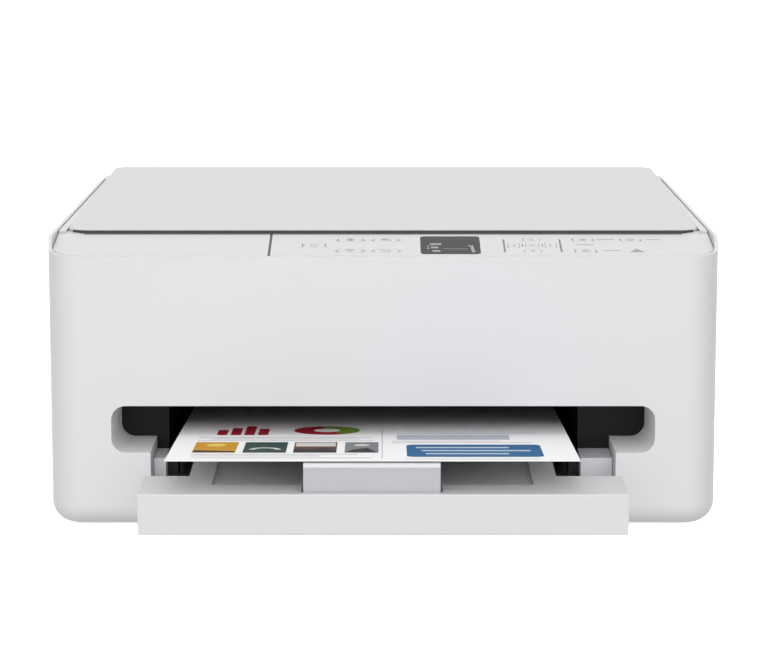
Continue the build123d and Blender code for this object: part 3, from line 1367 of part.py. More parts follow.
with BuildPart() as chassis_frame:
    for side in (-1, 1):
        near, far = sorted((side * CHASSIS_HALF, side * (CHASSIS_HALF + SHEET_METAL)))
        side_profile(
            (
                (CHASSIS_FRONT, ROLLER_HEIGHT - 16),
                (CHASSIS_FRONT, CHASSIS_TOP - 14),
                (CHASSIS_FRONT + 14, CHASSIS_TOP),
                (CHASSIS_BACK + SHEET_METAL, CHASSIS_TOP),
                (CHASSIS_BACK + SHEET_METAL, PAN_WALL_TOP + FIT),
                (CHASSIS_FRONT + 24, PAN_WALL_TOP + FIT),
            ),
            near,
            far,
        )
        for depth in (FEED_DEPTH, EJECT_DEPTH):
            rod(ROLLER_SHAFT + RUN, near - 1, far + 1, depth, ROLLER_HEIGHT, Mode.SUBTRACT)
        rod(RAIL_RADIUS, near - 1, far + 1, RAIL_DEPTH, RAIL_HEIGHT, Mode.SUBTRACT)
    # opening for the motor's pinion shaft, and the stub that carries the idler gear
    block(
        -CHASSIS_HALF - SHEET_METAL - 1,
        -CHASSIS_HALF + 1,
        at(feed_motor_depth - SHAFT_WINDOW),
        at(feed_motor_depth + SHAFT_WINDOW),
        feed_motor_height - SHAFT_WINDOW,
        feed_motor_height + SHAFT_WINDOW,
        Mode.SUBTRACT,
    )
    rod(
        AXLE_STUB,
        -CHASSIS_HALF - SHEET_METAL - GEAR_OFFSET - GEAR_WIDTH,
        -CHASSIS_HALF,
        idler_depth,
        ROLLER_HEIGHT,
    )
    # back plate with its turned top edge
    block(
        -CHASSIS_HALF,
        CHASSIS_HALF,
        at(CHASSIS_BACK),
        at(CHASSIS_BACK + SHEET_METAL),
        BACK_PLATE_LOW,
        CHASSIS_TOP,
    )
    block(
        -CHASSIS_HALF,
        CHASSIS_HALF,
        at(CHASSIS_BACK),
        at(CHASSIS_BACK + FLANGE_TURN),
        CHASSIS_TOP - SHEET_METAL,
        CHASSIS_TOP,
    )
    # the motor's shaft passes through the plate, and a stub holds the idler pulley
    block(
        MOTOR_PULLEY_X - SHAFT_WINDOW,
        MOTOR_PULLEY_X + SHAFT_WINDOW,
        at(CHASSIS_BACK - 1),
        at(CHASSIS_BACK + SHEET_METAL + 1),
        BELT_HEIGHT - SHAFT_WINDOW,
        BELT_HEIGHT + SHAFT_WINDOW,
        Mode.SUBTRACT,
    )
    with BuildSketch(Plane.XZ.offset(-at(BELT_FRONT - 1))) as stub:
        with Locations((IDLER_PULLEY_X, BELT_HEIGHT)):
            Circle(AXLE_STUB)
    extrude(stub.sketch, amount=-(CHASSIS_BACK - BELT_FRONT + 1.5))
chassis_frame.part.label = "chassis_frame"
export_step(chassis_frame.part, "parts/chassis_frame.step")

with BuildPart() as guide_rail:
    rod(RAIL_RADIUS, -CHASSIS_HALF - 3, CHASSIS_HALF + 3, RAIL_DEPTH, RAIL_HEIGHT)
guide_rail.part.label = "guide_rail"
export_step(guide_rail.part, "parts/guide_rail.step")

# Carriage motor behind the back plate, with its shaft through the pulley
CARRIAGE_MOTOR_RADIUS = 12.0
CARRIAGE_MOTOR_LENGTH = 24.0

with BuildPart() as carriage_motor:
    with BuildSketch(Plane.XZ.offset(-at(CHASSIS_BACK + SHEET_METAL))) as can:
        with Locations((MOTOR_PULLEY_X, BELT_HEIGHT)):
            Circle(CARRIAGE_MOTOR_RADIUS)
    extrude(can.sketch, amount=-CARRIAGE_MOTOR_LENGTH)
    with BuildSketch(Plane.XZ.offset(-at(BELT_FRONT - 1))) as shaft:
        with Locations((MOTOR_PULLEY_X, BELT_HEIGHT)):
            Circle(MOTOR_SHAFT)
    extrude(shaft.sketch, amount=-(CHASSIS_BACK - BELT_FRONT + 4))
carriage_motor.part.label = "carriage_motor"
export_step(carriage_motor.part, "parts/carriage_motor.step")

# Toothed pulleys of the drive belt, each with a flange behind the belt
belt_inner = PULLEY_RADIUS + FIT
pulleys = (("motor_pulley", MOTOR_PULLEY_X, MOTOR_SHAFT), ("idler_pulley", IDLER_PULLEY_X, AXLE_STUB))
PULLEY_FLANGE = 0.7
FLANGE_LAP = 1.6
pulley_module = PULLEY_RADIUS / (PULLEY_TEETH / 2 + TOOTH_TIP)
for name, x, shaft_radius in pulleys:
    with BuildPart() as pulley:
        drum = gear_outline(
            Plane.XZ.offset(-at(BELT_FRONT - 0.2)),
            (x, BELT_HEIGHT),
            PULLEY_TEETH,
            pulley_module,
            0,
            0,
            shaft_radius + RUN,
        )
        extrude(drum, amount=-(BELT_WIDTH + 0.4))
        with BuildSketch(Plane.XZ.offset(-at(BELT_FRONT + BELT_WIDTH + 0.2))) as rim:
            with Locations((x, BELT_HEIGHT)):
                Circle(PULLEY_RADIUS + FLANGE_LAP)
                Circle(shaft_radius + RUN, mode=Mode.SUBTRACT)
        extrude(rim.sketch, amount=-PULLEY_FLANGE)
    pulley.part.label = name
    export_step(pulley.part, f"parts/{name}.step")

with BuildPart() as drive_belt:
    with BuildSketch(Plane.XZ.offset(-at(BELT_FRONT))) as loop:
        with Locations(((MOTOR_PULLEY_X + IDLER_PULLEY_X) / 2, BELT_HEIGHT)):
            SlotCenterToCenter(IDLER_PULLEY_X - MOTOR_PULLEY_X, 2 * (belt_inner + BELT_THICKNESS))
            SlotCenterToCenter(IDLER_PULLEY_X - MOTOR_PULLEY_X, 2 * belt_inner, mode=Mode.SUBTRACT)
    extrude(loop.sketch, amount=-BELT_WIDTH)
drive_belt.part.label = "drive_belt"
export_step(drive_belt.part, "parts/drive_belt.step")

# Platen under the carriage, with the ribs that space the paper from the print heads
PLATEN_LEFT = -CHASSIS_HALF + FIT
PLATEN_RIGHT = SHEET_RIGHT + 5.2
PLATEN_RIB = 1.2
PLATEN_RIBS = 9

with BuildPart() as platen:
    platen_low = PLATEN_TOP - PLATEN_THICKNESS
    block(PLATEN_LEFT, PLATEN_RIGHT, at(PLATEN_FRONT), at(PLATEN_BACK), platen_low, PLATEN_TOP - 2.5)
    rib_step = (SHEET_WIDTH - 4) / (PLATEN_RIBS - 1)
    for index in range(PLATEN_RIBS):
        x = PATH_CENTRE - SHEET_WIDTH / 2 + 2 + index * rib_step
        block(
            x - PLATEN_RIB / 2,
            x + PLATEN_RIB / 2,
            at(PLATEN_FRONT + 2),
            at(PLATEN_BACK - 2),
            PLATEN_TOP - 2.5,
            PLATEN_TOP,
        )
    # trough that takes the ink of borderless prints
    block(
        PATH_CENTRE - SHEET_WIDTH / 2 - 4,
        PATH_CENTRE + SHEET_WIDTH / 2 + 2,
        at(PLATEN_FRONT + 20),
        at(PLATEN_BACK - 20),
        PLATEN_TOP - 6,
        PLATEN_TOP + 1,
        Mode.SUBTRACT,
    )
platen.part.label = "platen"
export_step(platen.part, "parts/platen.step")

# Purge unit: caps and wiper that service the parked carriage
PURGE_LEFT = PLATEN_RIGHT + FIT
PURGE_RIGHT = CHASSIS_HALF - 4.0
PURGE_BODY_LEFT = TUNNEL_RIGHT + TUNNEL_WALL + 0.7
PURGE_STEP = PLATEN_TOP - 10.0
PURGE_TOP = PLATEN_TOP - 2.5
NOZZLE_OFFSET = 17.0
CAP_WIDTH = 18.0
CAP_LENGTH = 34.0
CAP_LIP = 1.5
CAP_TOP = PLATEN_TOP + 1.1

with BuildPart() as purge_unit:
    block(
        PURGE_BODY_LEFT,
        PURGE_RIGHT,
        at(PLATEN_FRONT + 1),
        at(PLATEN_BACK - 1),
        FLOOR_TOP + FIT,
        PURGE_STEP,
    )
    block(PURGE_LEFT, PURGE_RIGHT, at(PLATEN_FRONT + 1), at(PLATEN_BACK - 1), PURGE_STEP, PURGE_TOP)
    for side in (-1, 1):
        x = CARRIAGE_PARK + side * NOZZLE_OFFSET
        with BuildSketch(Plane.XY.offset(PURGE_TOP)) as seal:
            with Locations((x, at((CARRIAGE_FRONT + CARRIAGE_BACK) / 2))):
                Rectangle(CAP_WIDTH, CAP_LENGTH)
                Rectangle(CAP_WIDTH - 2 * CAP_LIP, CAP_LENGTH - 2 * CAP_LIP, mode=Mode.SUBTRACT)
        extrude(seal.sketch, amount=CAP_TOP - PURGE_TOP)
    # wiper blade beside the caps
    block(
        PURGE_LEFT + 0.5,
        PURGE_LEFT + 1.5,
        at(PLATEN_FRONT + 14),
        at(PLATEN_BACK - 14),
        PURGE_TOP,
        CAP_TOP + 0.3,
    )
purge_unit.part.label = "purge_unit"
export_step(purge_unit.part, "parts/purge_unit.step")

# Rollers that move the paper, each with its gear on the left end
shaft_left = -CHASSIS_HALF - SHEET_METAL - GEAR_OFFSET - GEAR_WIDTH
gear_left = Plane.YZ.offset(shaft_left)
TOOTH_GAP = 0.4
ROLLER_LEFT = SHEET_LEFT - 4.5
ROLLER_RIGHT = SHEET_RIGHT + 3.6
COLLAR = 10.0
COLLARS = 4
COLLAR_SIDES = 18

with BuildPart() as feed_roller:
    rod(ROLLER_SHAFT, shaft_left, CHASSIS_HALF + SHEET_METAL + 2, FEED_DEPTH, ROLLER_HEIGHT)
    rod(ROLLER_RADIUS, ROLLER_LEFT, ROLLER_RIGHT, FEED_DEPTH, ROLLER_HEIGHT)
    extrude(
        gear_outline(gear_left, (at(FEED_DEPTH), ROLLER_HEIGHT), FEED_TEETH, GEAR_MODULE, TOOTH_GAP, 0, 0),
        amount=GEAR_WIDTH,
    )
feed_roller.part.label = "feed_roller"
export_step(feed_roller.part, "parts/feed_roller.step")

with BuildPart() as eject_roller:
    rod(ROLLER_SHAFT, shaft_left, CHASSIS_HALF + SHEET_METAL + 2, EJECT_DEPTH, ROLLER_HEIGHT)
    # rubber collars along the shaft
    for index in range(COLLARS):
        x = SHEET_LEFT + (index + 0.5) * SHEET_WIDTH / COLLARS
        with BuildSketch(Plane.YZ.offset(x - COLLAR / 2)) as collar:
            with Locations((at(EJECT_DEPTH), ROLLER_HEIGHT)):
                RegularPolygon(ROLLER_RADIUS, COLLAR_SIDES)
        extrude(collar.sketch, amount=COLLAR)
    extrude(
        gear_outline(gear_left, (at(EJECT_DEPTH), ROLLER_HEIGHT), FEED_TEETH, GEAR_MODULE, TOOTH_GAP, 0, 0),
        amount=GEAR_WIDTH,
    )
eject_roller.part.label = "eject_roller"
export_step(eject_roller.part, "parts/eject_roller.step")

with BuildPart() as idler_gear:
    extrude(
        gear_outline(
            gear_left,
            (at(idler_depth), ROLLER_HEIGHT),
            IDLER_TEETH,
            GEAR_MODULE,
            TOOTH_GAP,
            180 / IDLER_TEETH,
            AXLE_STUB + RUN,
        ),
        amount=GEAR_WIDTH,
    )
idler_gear.part.label = "idler_gear"
export_step(idler_gear.part, "parts/idler_gear.step")

with BuildPart() as motor_pinion:
    extrude(
        gear_outline(
            gear_left,
            (at(feed_motor_depth), feed_motor_height),
            MOTOR_TEETH,
            GEAR_MODULE,
            TOOTH_GAP,
            0,
            MOTOR_SHAFT + RUN,
        ),
        amount=GEAR_WIDTH,
    )
motor_pinion.part.label = "motor_pinion"
export_step(motor_pinion.part, "parts/motor_pinion.step")

# Feed motor inside the left side plate
FEED_MOTOR_RADIUS = 13.0
FEED_MOTOR_LENGTH = 28.0

with BuildPart() as feed_motor:
    rod(
        FEED_MOTOR_RADIUS,
        -CHASSIS_HALF,
        -CHASSIS_HALF + FEED_MOTOR_LENGTH,
        feed_motor_depth,
        feed_motor_height,
    )
    rod(MOTOR_SHAFT, shaft_left, -CHASSIS_HALF, feed_motor_depth, feed_motor_height)
feed_motor.part.label = "feed_motor"
export_step(feed_motor.part, "parts/feed_motor.step")

# Spur bar over the eject roller and pinch rollers over the feed roller
SPUR_RADIUS = 3.2
SPUR_SPIKES = 9
SPUR_THICKNESS = 1.0
SPUR_AXLE = 0.7
SPUR_BAR_LIFT = 12.8  # over the rollers' axes
SPUR_BAR_TALL = 5.0
SPUR_BAR_LOW = ROLLER_HEIGHT + SPUR_BAR_LIFT
SPUR_BAR_TOP = SPUR_BAR_LOW + SPUR_BAR_TALL
PINCH_ROLLERS = 4
PINCH_RADIUS = 3.0
PINCH_HALF = 20.0
PINCH_PLATE_LIFT = 13.4
PINCH_PLATE = ROLLER_HEIGHT + PINCH_PLATE_LIFT
PLATE_THICKNESS = 1.4

with BuildPart() as hold_down_rollers:
    spur_height = ROLLER_HEIGHT + ROLLER_RADIUS + FIT + SPUR_RADIUS
    block(
        -CHASSIS_HALF + FIT,
        CHASSIS_HALF - FIT,
        at(EJECT_DEPTH - 5),
        at(EJECT_DEPTH + 5),
        SPUR_BAR_LOW,
        SPUR_BAR_TOP,
    )
    for index in range(COLLARS):
        x = SHEET_LEFT + (index + 0.5) * SHEET_WIDTH / COLLARS
        # a spiked wheel between two lugs, on a short axle
        star = star_outline(
            Plane.YZ.offset(x - SPUR_THICKNESS / 2),
            (at(EJECT_DEPTH), spur_height),
            SPUR_RADIUS,
            SPUR_SPIKES,
        )
        extrude(star, amount=SPUR_THICKNESS)
        block(
            x - 2.2,
            x + 2.2,
            at(EJECT_DEPTH - SPUR_AXLE),
            at(EJECT_DEPTH + SPUR_AXLE),
            spur_height - SPUR_AXLE,
            spur_height + SPUR_AXLE,
        )
        for left in (x - 2.2, x + 1.0):
            block(
                left,
                left + 1.2,
                at(EJECT_DEPTH - 1.5),
                at(EJECT_DEPTH + 1.5),
                spur_height - 1,
                SPUR_BAR_LOW,
            )
    pinch_height = ROLLER_HEIGHT + ROLLER_RADIUS + FIT + PINCH_RADIUS
    arm_half = PINCH_HALF + 2
    for index in range(PINCH_ROLLERS):
        x = SHEET_LEFT + (index + 0.5) * SHEET_WIDTH / PINCH_ROLLERS
        rod(PINCH_RADIUS, x - PINCH_HALF, x + PINCH_HALF, FEED_DEPTH, pinch_height)
        block(
            x - arm_half,
            x + arm_half,
            at(FEED_DEPTH - 3),
            at(CHASSIS_BACK - FIT),
            PINCH_PLATE,
            PINCH_PLATE + PLATE_THICKNESS,
        )
        for left in (x - arm_half, x + PINCH_HALF):
            block(
                left,
                left + 2,
                at(FEED_DEPTH - 2),
                at(FEED_DEPTH + 2),
                pinch_height - 1.5,
                PINCH_PLATE,
            )
hold_down_rollers.part.label = "hold_down_rollers"
export_step(hold_down_rollers.part, "parts/hold_down_rollers.step")

# Carriage: an open box for two cartridges on a bush that rides the rail
CARRIAGE_WALL = 1.6
BUSH_FRONT = CARRIAGE_BACK
BUSH_BACK = RAIL_DEPTH + 7.5
BUSH_LOW = RAIL_HEIGHT - 7.0
BUSH_TOP = RAIL_HEIGHT + 7.0
CLAMP_HALF = 6.0
CARTRIDGE_GAP = 0.4

with BuildPart() as carriage:
    block(
        CARRIAGE_PARK - CARRIAGE_HALF,
        CARRIAGE_PARK + CARRIAGE_HALF,
        at(CARRIAGE_FRONT),
        at(CARRIAGE_BACK),
        CARRIAGE_LOW,
        CARRIAGE_TOP,
    )
    fillet(carriage.edges().filter_by(Axis.Z).group_by(Axis.Y)[0], 4)
    bay_width = CARRIAGE_HALF - 1.5 * CARRIAGE_WALL
    for side in (-1, 1):
        x = CARRIAGE_PARK + side * (CARRIAGE_WALL / 2 + bay_width / 2)
        block(
            x - bay_width / 2,
            x + bay_width / 2,
            at(CARRIAGE_FRONT + CARRIAGE_WALL),
            at(CARRIAGE_BACK - CARRIAGE_WALL),
            CARRIAGE_LOW + CARRIAGE_WALL,
            CARRIAGE_TOP + 1,
            Mode.SUBTRACT,
        )
        # opening for the print head's nose
        x = CARRIAGE_PARK + side * NOZZLE_OFFSET
        y = (CARRIAGE_FRONT + CARRIAGE_BACK) / 2
        block(x - 9, x + 9, at(y - 16), at(y + 16), CARRIAGE_LOW - 1, CARRIAGE_LOW + 4, Mode.SUBTRACT)
    # low front edge, over which the cartridges are changed
    block(
        CARRIAGE_PARK - CARRIAGE_HALF - 1,
        CARRIAGE_PARK + CARRIAGE_HALF + 1,
        at(CARRIAGE_FRONT - 1),
        at(CARRIAGE_FRONT + 14),
        CARRIAGE_LOW + 12,
        CARRIAGE_TOP + 1,
        Mode.SUBTRACT,
    )
    block(
        CARRIAGE_PARK - CARRIAGE_HALF + 4,
        CARRIAGE_PARK + CARRIAGE_HALF - 4,
        at(BUSH_FRONT),
        at(BUSH_BACK),
        BUSH_LOW,
        BUSH_TOP,
    )
    rod(
        RAIL_RADIUS + RUN,
        CARRIAGE_PARK - CARRIAGE_HALF,
        CARRIAGE_PARK + CARRIAGE_HALF,
        RAIL_DEPTH,
        RAIL_HEIGHT,
        Mode.SUBTRACT,
    )
    # two jaws grip the belt's upper run
    run_low = BELT_HEIGHT + belt_inner
    run_top = run_low + BELT_THICKNESS
    for low, high in ((run_low - FIT - 2, run_low - FIT), (run_top + FIT, run_top + FIT + 2)):
        block(
            CARRIAGE_PARK - CLAMP_HALF,
            CARRIAGE_PARK + CLAMP_HALF,
            at(BUSH_BACK - 4),
            at(BELT_FRONT + BELT_WIDTH),
            low,
            high,
        )
    block(
        CARRIAGE_PARK - CLAMP_HALF,
        CARRIAGE_PARK + CLAMP_HALF,
        at(BUSH_BACK - 4),
        at(BUSH_BACK),
        BUSH_TOP - 1,
        run_top + FIT + 2,
    )
carriage.part.label = "carriage"
export_step(carriage.part, "parts/carriage.step")

# Ink cartridges with their print heads underneath
for name, side in (("black_cartridge", -1), ("colour_cartridge", 1)):
    with BuildPart() as cartridge:
        x = CARRIAGE_PARK + side * NOZZLE_OFFSET
        half = NOZZLE_OFFSET - CARRIAGE_WALL / 2 - CARTRIDGE_GAP
        front = CARRIAGE_FRONT + CARRIAGE_WALL + CARTRIDGE_GAP
        back = CARRIAGE_BACK - CARRIAGE_WALL - CARTRIDGE_GAP
        low = CARRIAGE_LOW + CARRIAGE_WALL + CARTRIDGE_GAP
        side_profile(
            (
                (front, low),
                (back, low),
                (back, CARRIAGE_TOP + 2),
                (front + 14, CARRIAGE_TOP + 2),
                (front + 8, CARRIAGE_TOP - 4),
                (front, CARRIAGE_TOP - 6),
            ),
            x - half,
            x + half,
        )
        fillet(cartridge.edges().filter_by(Axis.X).group_by(Axis.Z)[-1], 1.5)
        middle = (CARRIAGE_FRONT + CARRIAGE_BACK) / 2
        block(x - 7, x + 7, at(middle - 13), at(middle + 13), CAP_TOP + 0.8, low)
        # finger ledge along the front
        block(
            x - half + 4,
            x + half - 4,
            at(front - 1),
            at(front + 5),
            CARRIAGE_TOP - 12,
            CARRIAGE_TOP,
            Mode.SUBTRACT,
        )
    cartridge.part.label = name
    export_step(cartridge.part, f"parts/{name}.step")

# Pickup arm, swinging on its shaft under the tray, and the roller that feeds from the cassette
PICKUP_DEPTH = CASSETTE_BACK - 14.5
PICKUP_RADIUS = 10.0
PICKUP_WIDTH = 24.0
PICKUP_AXLE = 1.5
ARM_WALL = 3.0
pickup_height = cassette_floor + FIT + PICKUP_RADIUS
arm_run = PICKUP_DEPTH - ARM_PIVOT_DEPTH
arm_drop = ARM_PIVOT_HEIGHT - pickup_height
arm_length = hypot(arm_run, arm_drop)

with BuildPart() as pickup_arm:
    across = -arm_drop / arm_length
    along = arm_run / arm_length
    for side in (-1, 1):
        edge = PATH_CENTRE + side * (PICKUP_WIDTH / 2 + 0.6)
        left, right = sorted((edge, edge + side * ARM_WALL))
        side_profile(
            (
                (ARM_PIVOT_DEPTH + across * 4, ARM_PIVOT_HEIGHT - along * 4),
                (PICKUP_DEPTH + across * 3, pickup_height - along * 3),
                (PICKUP_DEPTH + along * 3, pickup_height + across * 3),
                (PICKUP_DEPTH - across * 3, pickup_height + along * 3),
                (ARM_PIVOT_DEPTH - across * 4, ARM_PIVOT_HEIGHT + along * 4),
                (ARM_PIVOT_DEPTH - along * 4, ARM_PIVOT_HEIGHT - across * 4),
            ),
            left,
            right,
        )
        rod(PICKUP_AXLE + RUN, left - 1, right + 1, PICKUP_DEPTH, pickup_height, Mode.SUBTRACT)
    # bridge between the two cheeks, ahead of the roller
    side_profile(
        (
            (ARM_PIVOT_DEPTH - across * 4 + 2, ARM_PIVOT_HEIGHT + along * 4 - 0.6),
            (ARM_PIVOT_DEPTH - across * 4 + 24, ARM_PIVOT_HEIGHT + along * 4 - 0.6 + 22 * across / along),
            (ARM_PIVOT_DEPTH - across * 4 + 23, ARM_PIVOT_HEIGHT + along * 4 - 2.6 + 22 * across / along),
            (ARM_PIVOT_DEPTH - across * 4 + 1, ARM_PIVOT_HEIGHT + along * 4 - 2.6),
        ),
        PATH_CENTRE - PICKUP_WIDTH / 2 - 1,
        PATH_CENTRE + PICKUP_WIDTH / 2 + 1,
    )
    rod(
        PIVOT_RADIUS,
        STEM_LEFT + LEDGE_LAP - 5,
        STEM_RIGHT - LEDGE_LAP + 5,
        ARM_PIVOT_DEPTH,
        ARM_PIVOT_HEIGHT,
    )
pickup_arm.part.label = "pickup_arm"
export_step(pickup_arm.part, "parts/pickup_arm.step")

with BuildPart() as pickup_roller:
    axle_half = PICKUP_WIDTH / 2 + 0.6 + ARM_WALL
    rod(PICKUP_AXLE, PATH_CENTRE - axle_half, PATH_CENTRE + axle_half, PICKUP_DEPTH, pickup_height)
    rod(
        PICKUP_RADIUS,
        PATH_CENTRE - PICKUP_WIDTH / 2,
        PATH_CENTRE + PICKUP_WIDTH / 2,
        PICKUP_DEPTH,
        pickup_height,
    )
pickup_roller.part.label = "pickup_roller"
export_step(pickup_roller.part, "parts/pickup_roller.step")

# Inner deck: the black cover over the mechanism, seen when the scanner unit is raised
DECK_THICKNESS = 1.8
DECK_BACK = BODY_DEPTH - 33.0
DECK_SKIRT = 22.0
deck_wall = FRAME_HALF - 3.0

with BuildPart() as inner_deck:
    deck_low = DECK_TOP - DECK_THICKNESS
    extrude(body_outline(WALL + FIT, deck_low), amount=DECK_THICKNESS)
    block(-HALF, HALF, FRONT, at(DECK_BACK), deck_low - 1, DECK_TOP + 1, Mode.INTERSECT)
    block(
        -CHASSIS_HALF + 1,
        CHASSIS_HALF - 1,
        at(CHASSIS_FRONT + 2),
        at(CHASSIS_BACK - 2),
        deck_low - 1,
        DECK_TOP + 1,
        Mode.SUBTRACT,
    )
    # walls down to the paper tunnel and the casing's recess
    block(
        -CHASSIS_HALF + 1,
        CHASSIS_HALF - 1,
        at(CHASSIS_FRONT - 4),
        at(CHASSIS_FRONT - 2),
        deck_low - DECK_SKIRT,
        deck_low,
    )
    for x in (-deck_wall, -deck_wall / 3, deck_wall / 3, deck_wall):
        block(
            x - 1,
            x + 1,
            at(WALL + 1),
            at(RECESS_DEPTH + 8),
            RECESS_TOP + WALL + 4,
            deck_low,
        )
    block(
        -deck_wall,
        deck_wall,
        at(RECESS_DEPTH + 6),
        at(RECESS_DEPTH + 8),
        FRAME_TOP + FIT,
        deck_low,
    )
inner_deck.part.label = "inner_deck"
export_step(inner_deck.part, "parts/inner_deck.step")

# Power supply with its inlet, and the main board with the USB port
SUPPLY_MARGIN = 19.0
SUPPLY_WIDTH = 39.0
SUPPLY_RIGHT = HALF - SUPPLY_MARGIN
SUPPLY_LEFT = SUPPLY_RIGHT - SUPPLY_WIDTH
supply_back = REAR - BASE_LIP - FIT - PAN_WALL - FIT
SUPPLY_BEHIND = 8.0  # behind the chassis
SUPPLY_FRONT = CHASSIS_BACK + SUPPLY_BEHIND
SUPPLY_TOP = 54.0

with BuildPart() as power_supply:
    block(SUPPLY_LEFT, SUPPLY_RIGHT, at(SUPPLY_FRONT), supply_back, FLOOR_TOP + FIT, SUPPLY_TOP)
    chamfer(power_supply.edges().filter_by(Axis.Z), 1.5)
    block(
        INLET_X - INLET_WIDTH / 2,
        INLET_X + INLET_WIDTH / 2,
        supply_back - 1,
        REAR,
        INLET_HEIGHT - INLET_TALL / 2,
        INLET_HEIGHT + INLET_TALL / 2,
    )
    # two-lobed socket with its pair of pins
    with BuildSketch(Plane.XZ.offset(-REAR)) as lobes:
        with Locations((INLET_X, INLET_HEIGHT)):
            SlotCenterToCenter(8.6, 8.4)
    extrude(lobes.sketch, amount=11, mode=Mode.SUBTRACT)
    with BuildSketch(Plane.XZ.offset(-REAR + 11.5)) as pins:
        with Locations((INLET_X - 4.3, INLET_HEIGHT), (INLET_X + 4.3, INLET_HEIGHT)):
            Circle(1.2)
    extrude(pins.sketch, amount=-9)
power_supply.part.label = "power_supply"
export_step(power_supply.part, "parts/power_supply.step")

BOARD_MARGIN = 16.0
BOARD_WIDTH = 36.0
BOARD_LEFT = -HALF + BOARD_MARGIN
BOARD_RIGHT = BOARD_LEFT + BOARD_WIDTH
BOARD_LOW = 20.0
CAN_RADIUS = 3.5
CAN_TALL = 9.0
CAN_INSET = 6.0
CAN_UP = 43.0  # the lower capacitor over the board's foot
CAN_STEP = 11.0
BOARD_TOP = 94.0
BOARD_THICKNESS = 1.6
STANDOFF = 3.2
board_back = supply_back - STANDOFF

with BuildPart() as main_board:
    block(BOARD_LEFT, BOARD_RIGHT, board_back - BOARD_THICKNESS, board_back, BOARD_LOW, BOARD_TOP)
    # spacers against the rear wall of the bottom pan
    for x in (BOARD_LEFT + 5, BOARD_RIGHT - 5):
        with BuildSketch(Plane.XZ.offset(-board_back)) as spacer:
            with Locations((x, BOARD_LOW + 6)):
                Rectangle(6, 6)
        extrude(spacer.sketch, amount=-STANDOFF)
    # processor, memory, capacitors and a row of connectors
    face = board_back - BOARD_THICKNESS
    for inset, low, width, tall, height in (
        (9.0, 62.0, 18.0, 18.0, 1.6),
        (6.0, 50.0, 12.0, 8.0, 1.2),
        (22.0, 50.0, 8.0, 8.0, 1.2),
        (4.0, 84.0, 26.0, 5.0, 6.0),
        (4.0, 22.0, 14.0, 5.0, 6.0),
    ):
        left = BOARD_LEFT + inset
        block(left, left + width, face - height, face, low, low + tall)
    with BuildSketch(Plane.XZ.offset(-face)) as cans:
        for step in (0, CAN_STEP):
            with Locations((BOARD_RIGHT - CAN_INSET, BOARD_LOW + CAN_UP + step)):
                Circle(CAN_RADIUS)
    extrude(cans.sketch, amount=CAN_TALL)
    # USB socket through the rear panel
    block(
        USB_X - USB_WIDTH / 2,
        USB_X + USB_WIDTH / 2,
        board_back,
        REAR,
        USB_HEIGHT - USB_TALL / 2,
        USB_HEIGHT + USB_TALL / 2,
    )
    with BuildSketch(Plane.XZ.offset(-REAR)) as port:
        with Locations((USB_X, USB_HEIGHT)):
            Rectangle(USB_WIDTH - 3.5, USB_TALL - 3.5)
        chamfer(port.vertices().group_by(Axis.Z)[-1], 1.8)
        with Locations((USB_X, USB_HEIGHT)):
            Rectangle(5.2, 3.0, mode=Mode.SUBTRACT)
    extrude(port.sketch, amount=9, mode=Mode.SUBTRACT)
main_board.part.label = "main_board"
export_step(main_board.part, "parts/main_board.step")
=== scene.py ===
import math

import bmesh
import bpy
from bpy.props import FloatProperty, FloatVectorProperty, PointerProperty
from mathutils import Matrix, Vector


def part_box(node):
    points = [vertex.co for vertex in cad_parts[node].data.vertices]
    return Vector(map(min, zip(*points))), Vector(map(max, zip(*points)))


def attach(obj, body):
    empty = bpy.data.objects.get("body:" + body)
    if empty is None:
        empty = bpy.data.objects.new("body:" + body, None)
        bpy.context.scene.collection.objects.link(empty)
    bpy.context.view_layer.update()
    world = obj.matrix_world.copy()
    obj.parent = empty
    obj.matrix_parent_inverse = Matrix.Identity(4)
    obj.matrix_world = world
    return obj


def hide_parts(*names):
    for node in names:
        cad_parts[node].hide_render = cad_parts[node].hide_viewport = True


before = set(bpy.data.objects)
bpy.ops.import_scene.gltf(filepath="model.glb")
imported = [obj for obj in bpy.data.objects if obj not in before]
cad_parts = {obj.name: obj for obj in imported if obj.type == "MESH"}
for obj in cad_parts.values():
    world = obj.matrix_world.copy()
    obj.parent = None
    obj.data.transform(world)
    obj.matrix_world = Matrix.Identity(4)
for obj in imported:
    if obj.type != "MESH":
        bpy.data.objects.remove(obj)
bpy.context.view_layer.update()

bl_info = {
    "name": "Inkjet printer dressing",
    "version": (1, 0, 0),
    "blender": (4, 5, 0),
    "location": "View3D > Sidebar > Printer",
    "description": "Finishes, printed marks and small fittings for the inkjet multifunction printer",
    "category": "Object",
}

MM = 0.001

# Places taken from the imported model
casing_low, casing_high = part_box("outer_casing")
FRONT = casing_low.y
REAR = casing_high.y
sheet_low, sheet_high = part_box("printed_sheet")
SHEET_THICKNESS = 0.4 * MM
SHEET_SLOPE = math.atan2(sheet_high.z - sheet_low.z - SHEET_THICKNESS, sheet_high.y - sheet_low.y)

# The operation panel's face, from its front edge to its rear one, and the groove across it
PANEL_RUN = 46.0 * MM
PANEL_CLIMB = 7.2 * MM
PANEL_EDGE = 153.8 * MM
PANEL_SLOPE = math.atan2(PANEL_CLIMB, PANEL_RUN)
GROOVE_X = -63.0 * MM
GROOVE_WIDTH = 1.4 * MM
GROOVE_DEPTH = 0.8 * MM
GROOVE_FILM_LENGTH = 45.6 * MM
GROOVE_FILM_THICKNESS = 0.7 * MM
GROOVE_FILM_GAP = 0.03 * MM
SKIN = 0.1 * MM
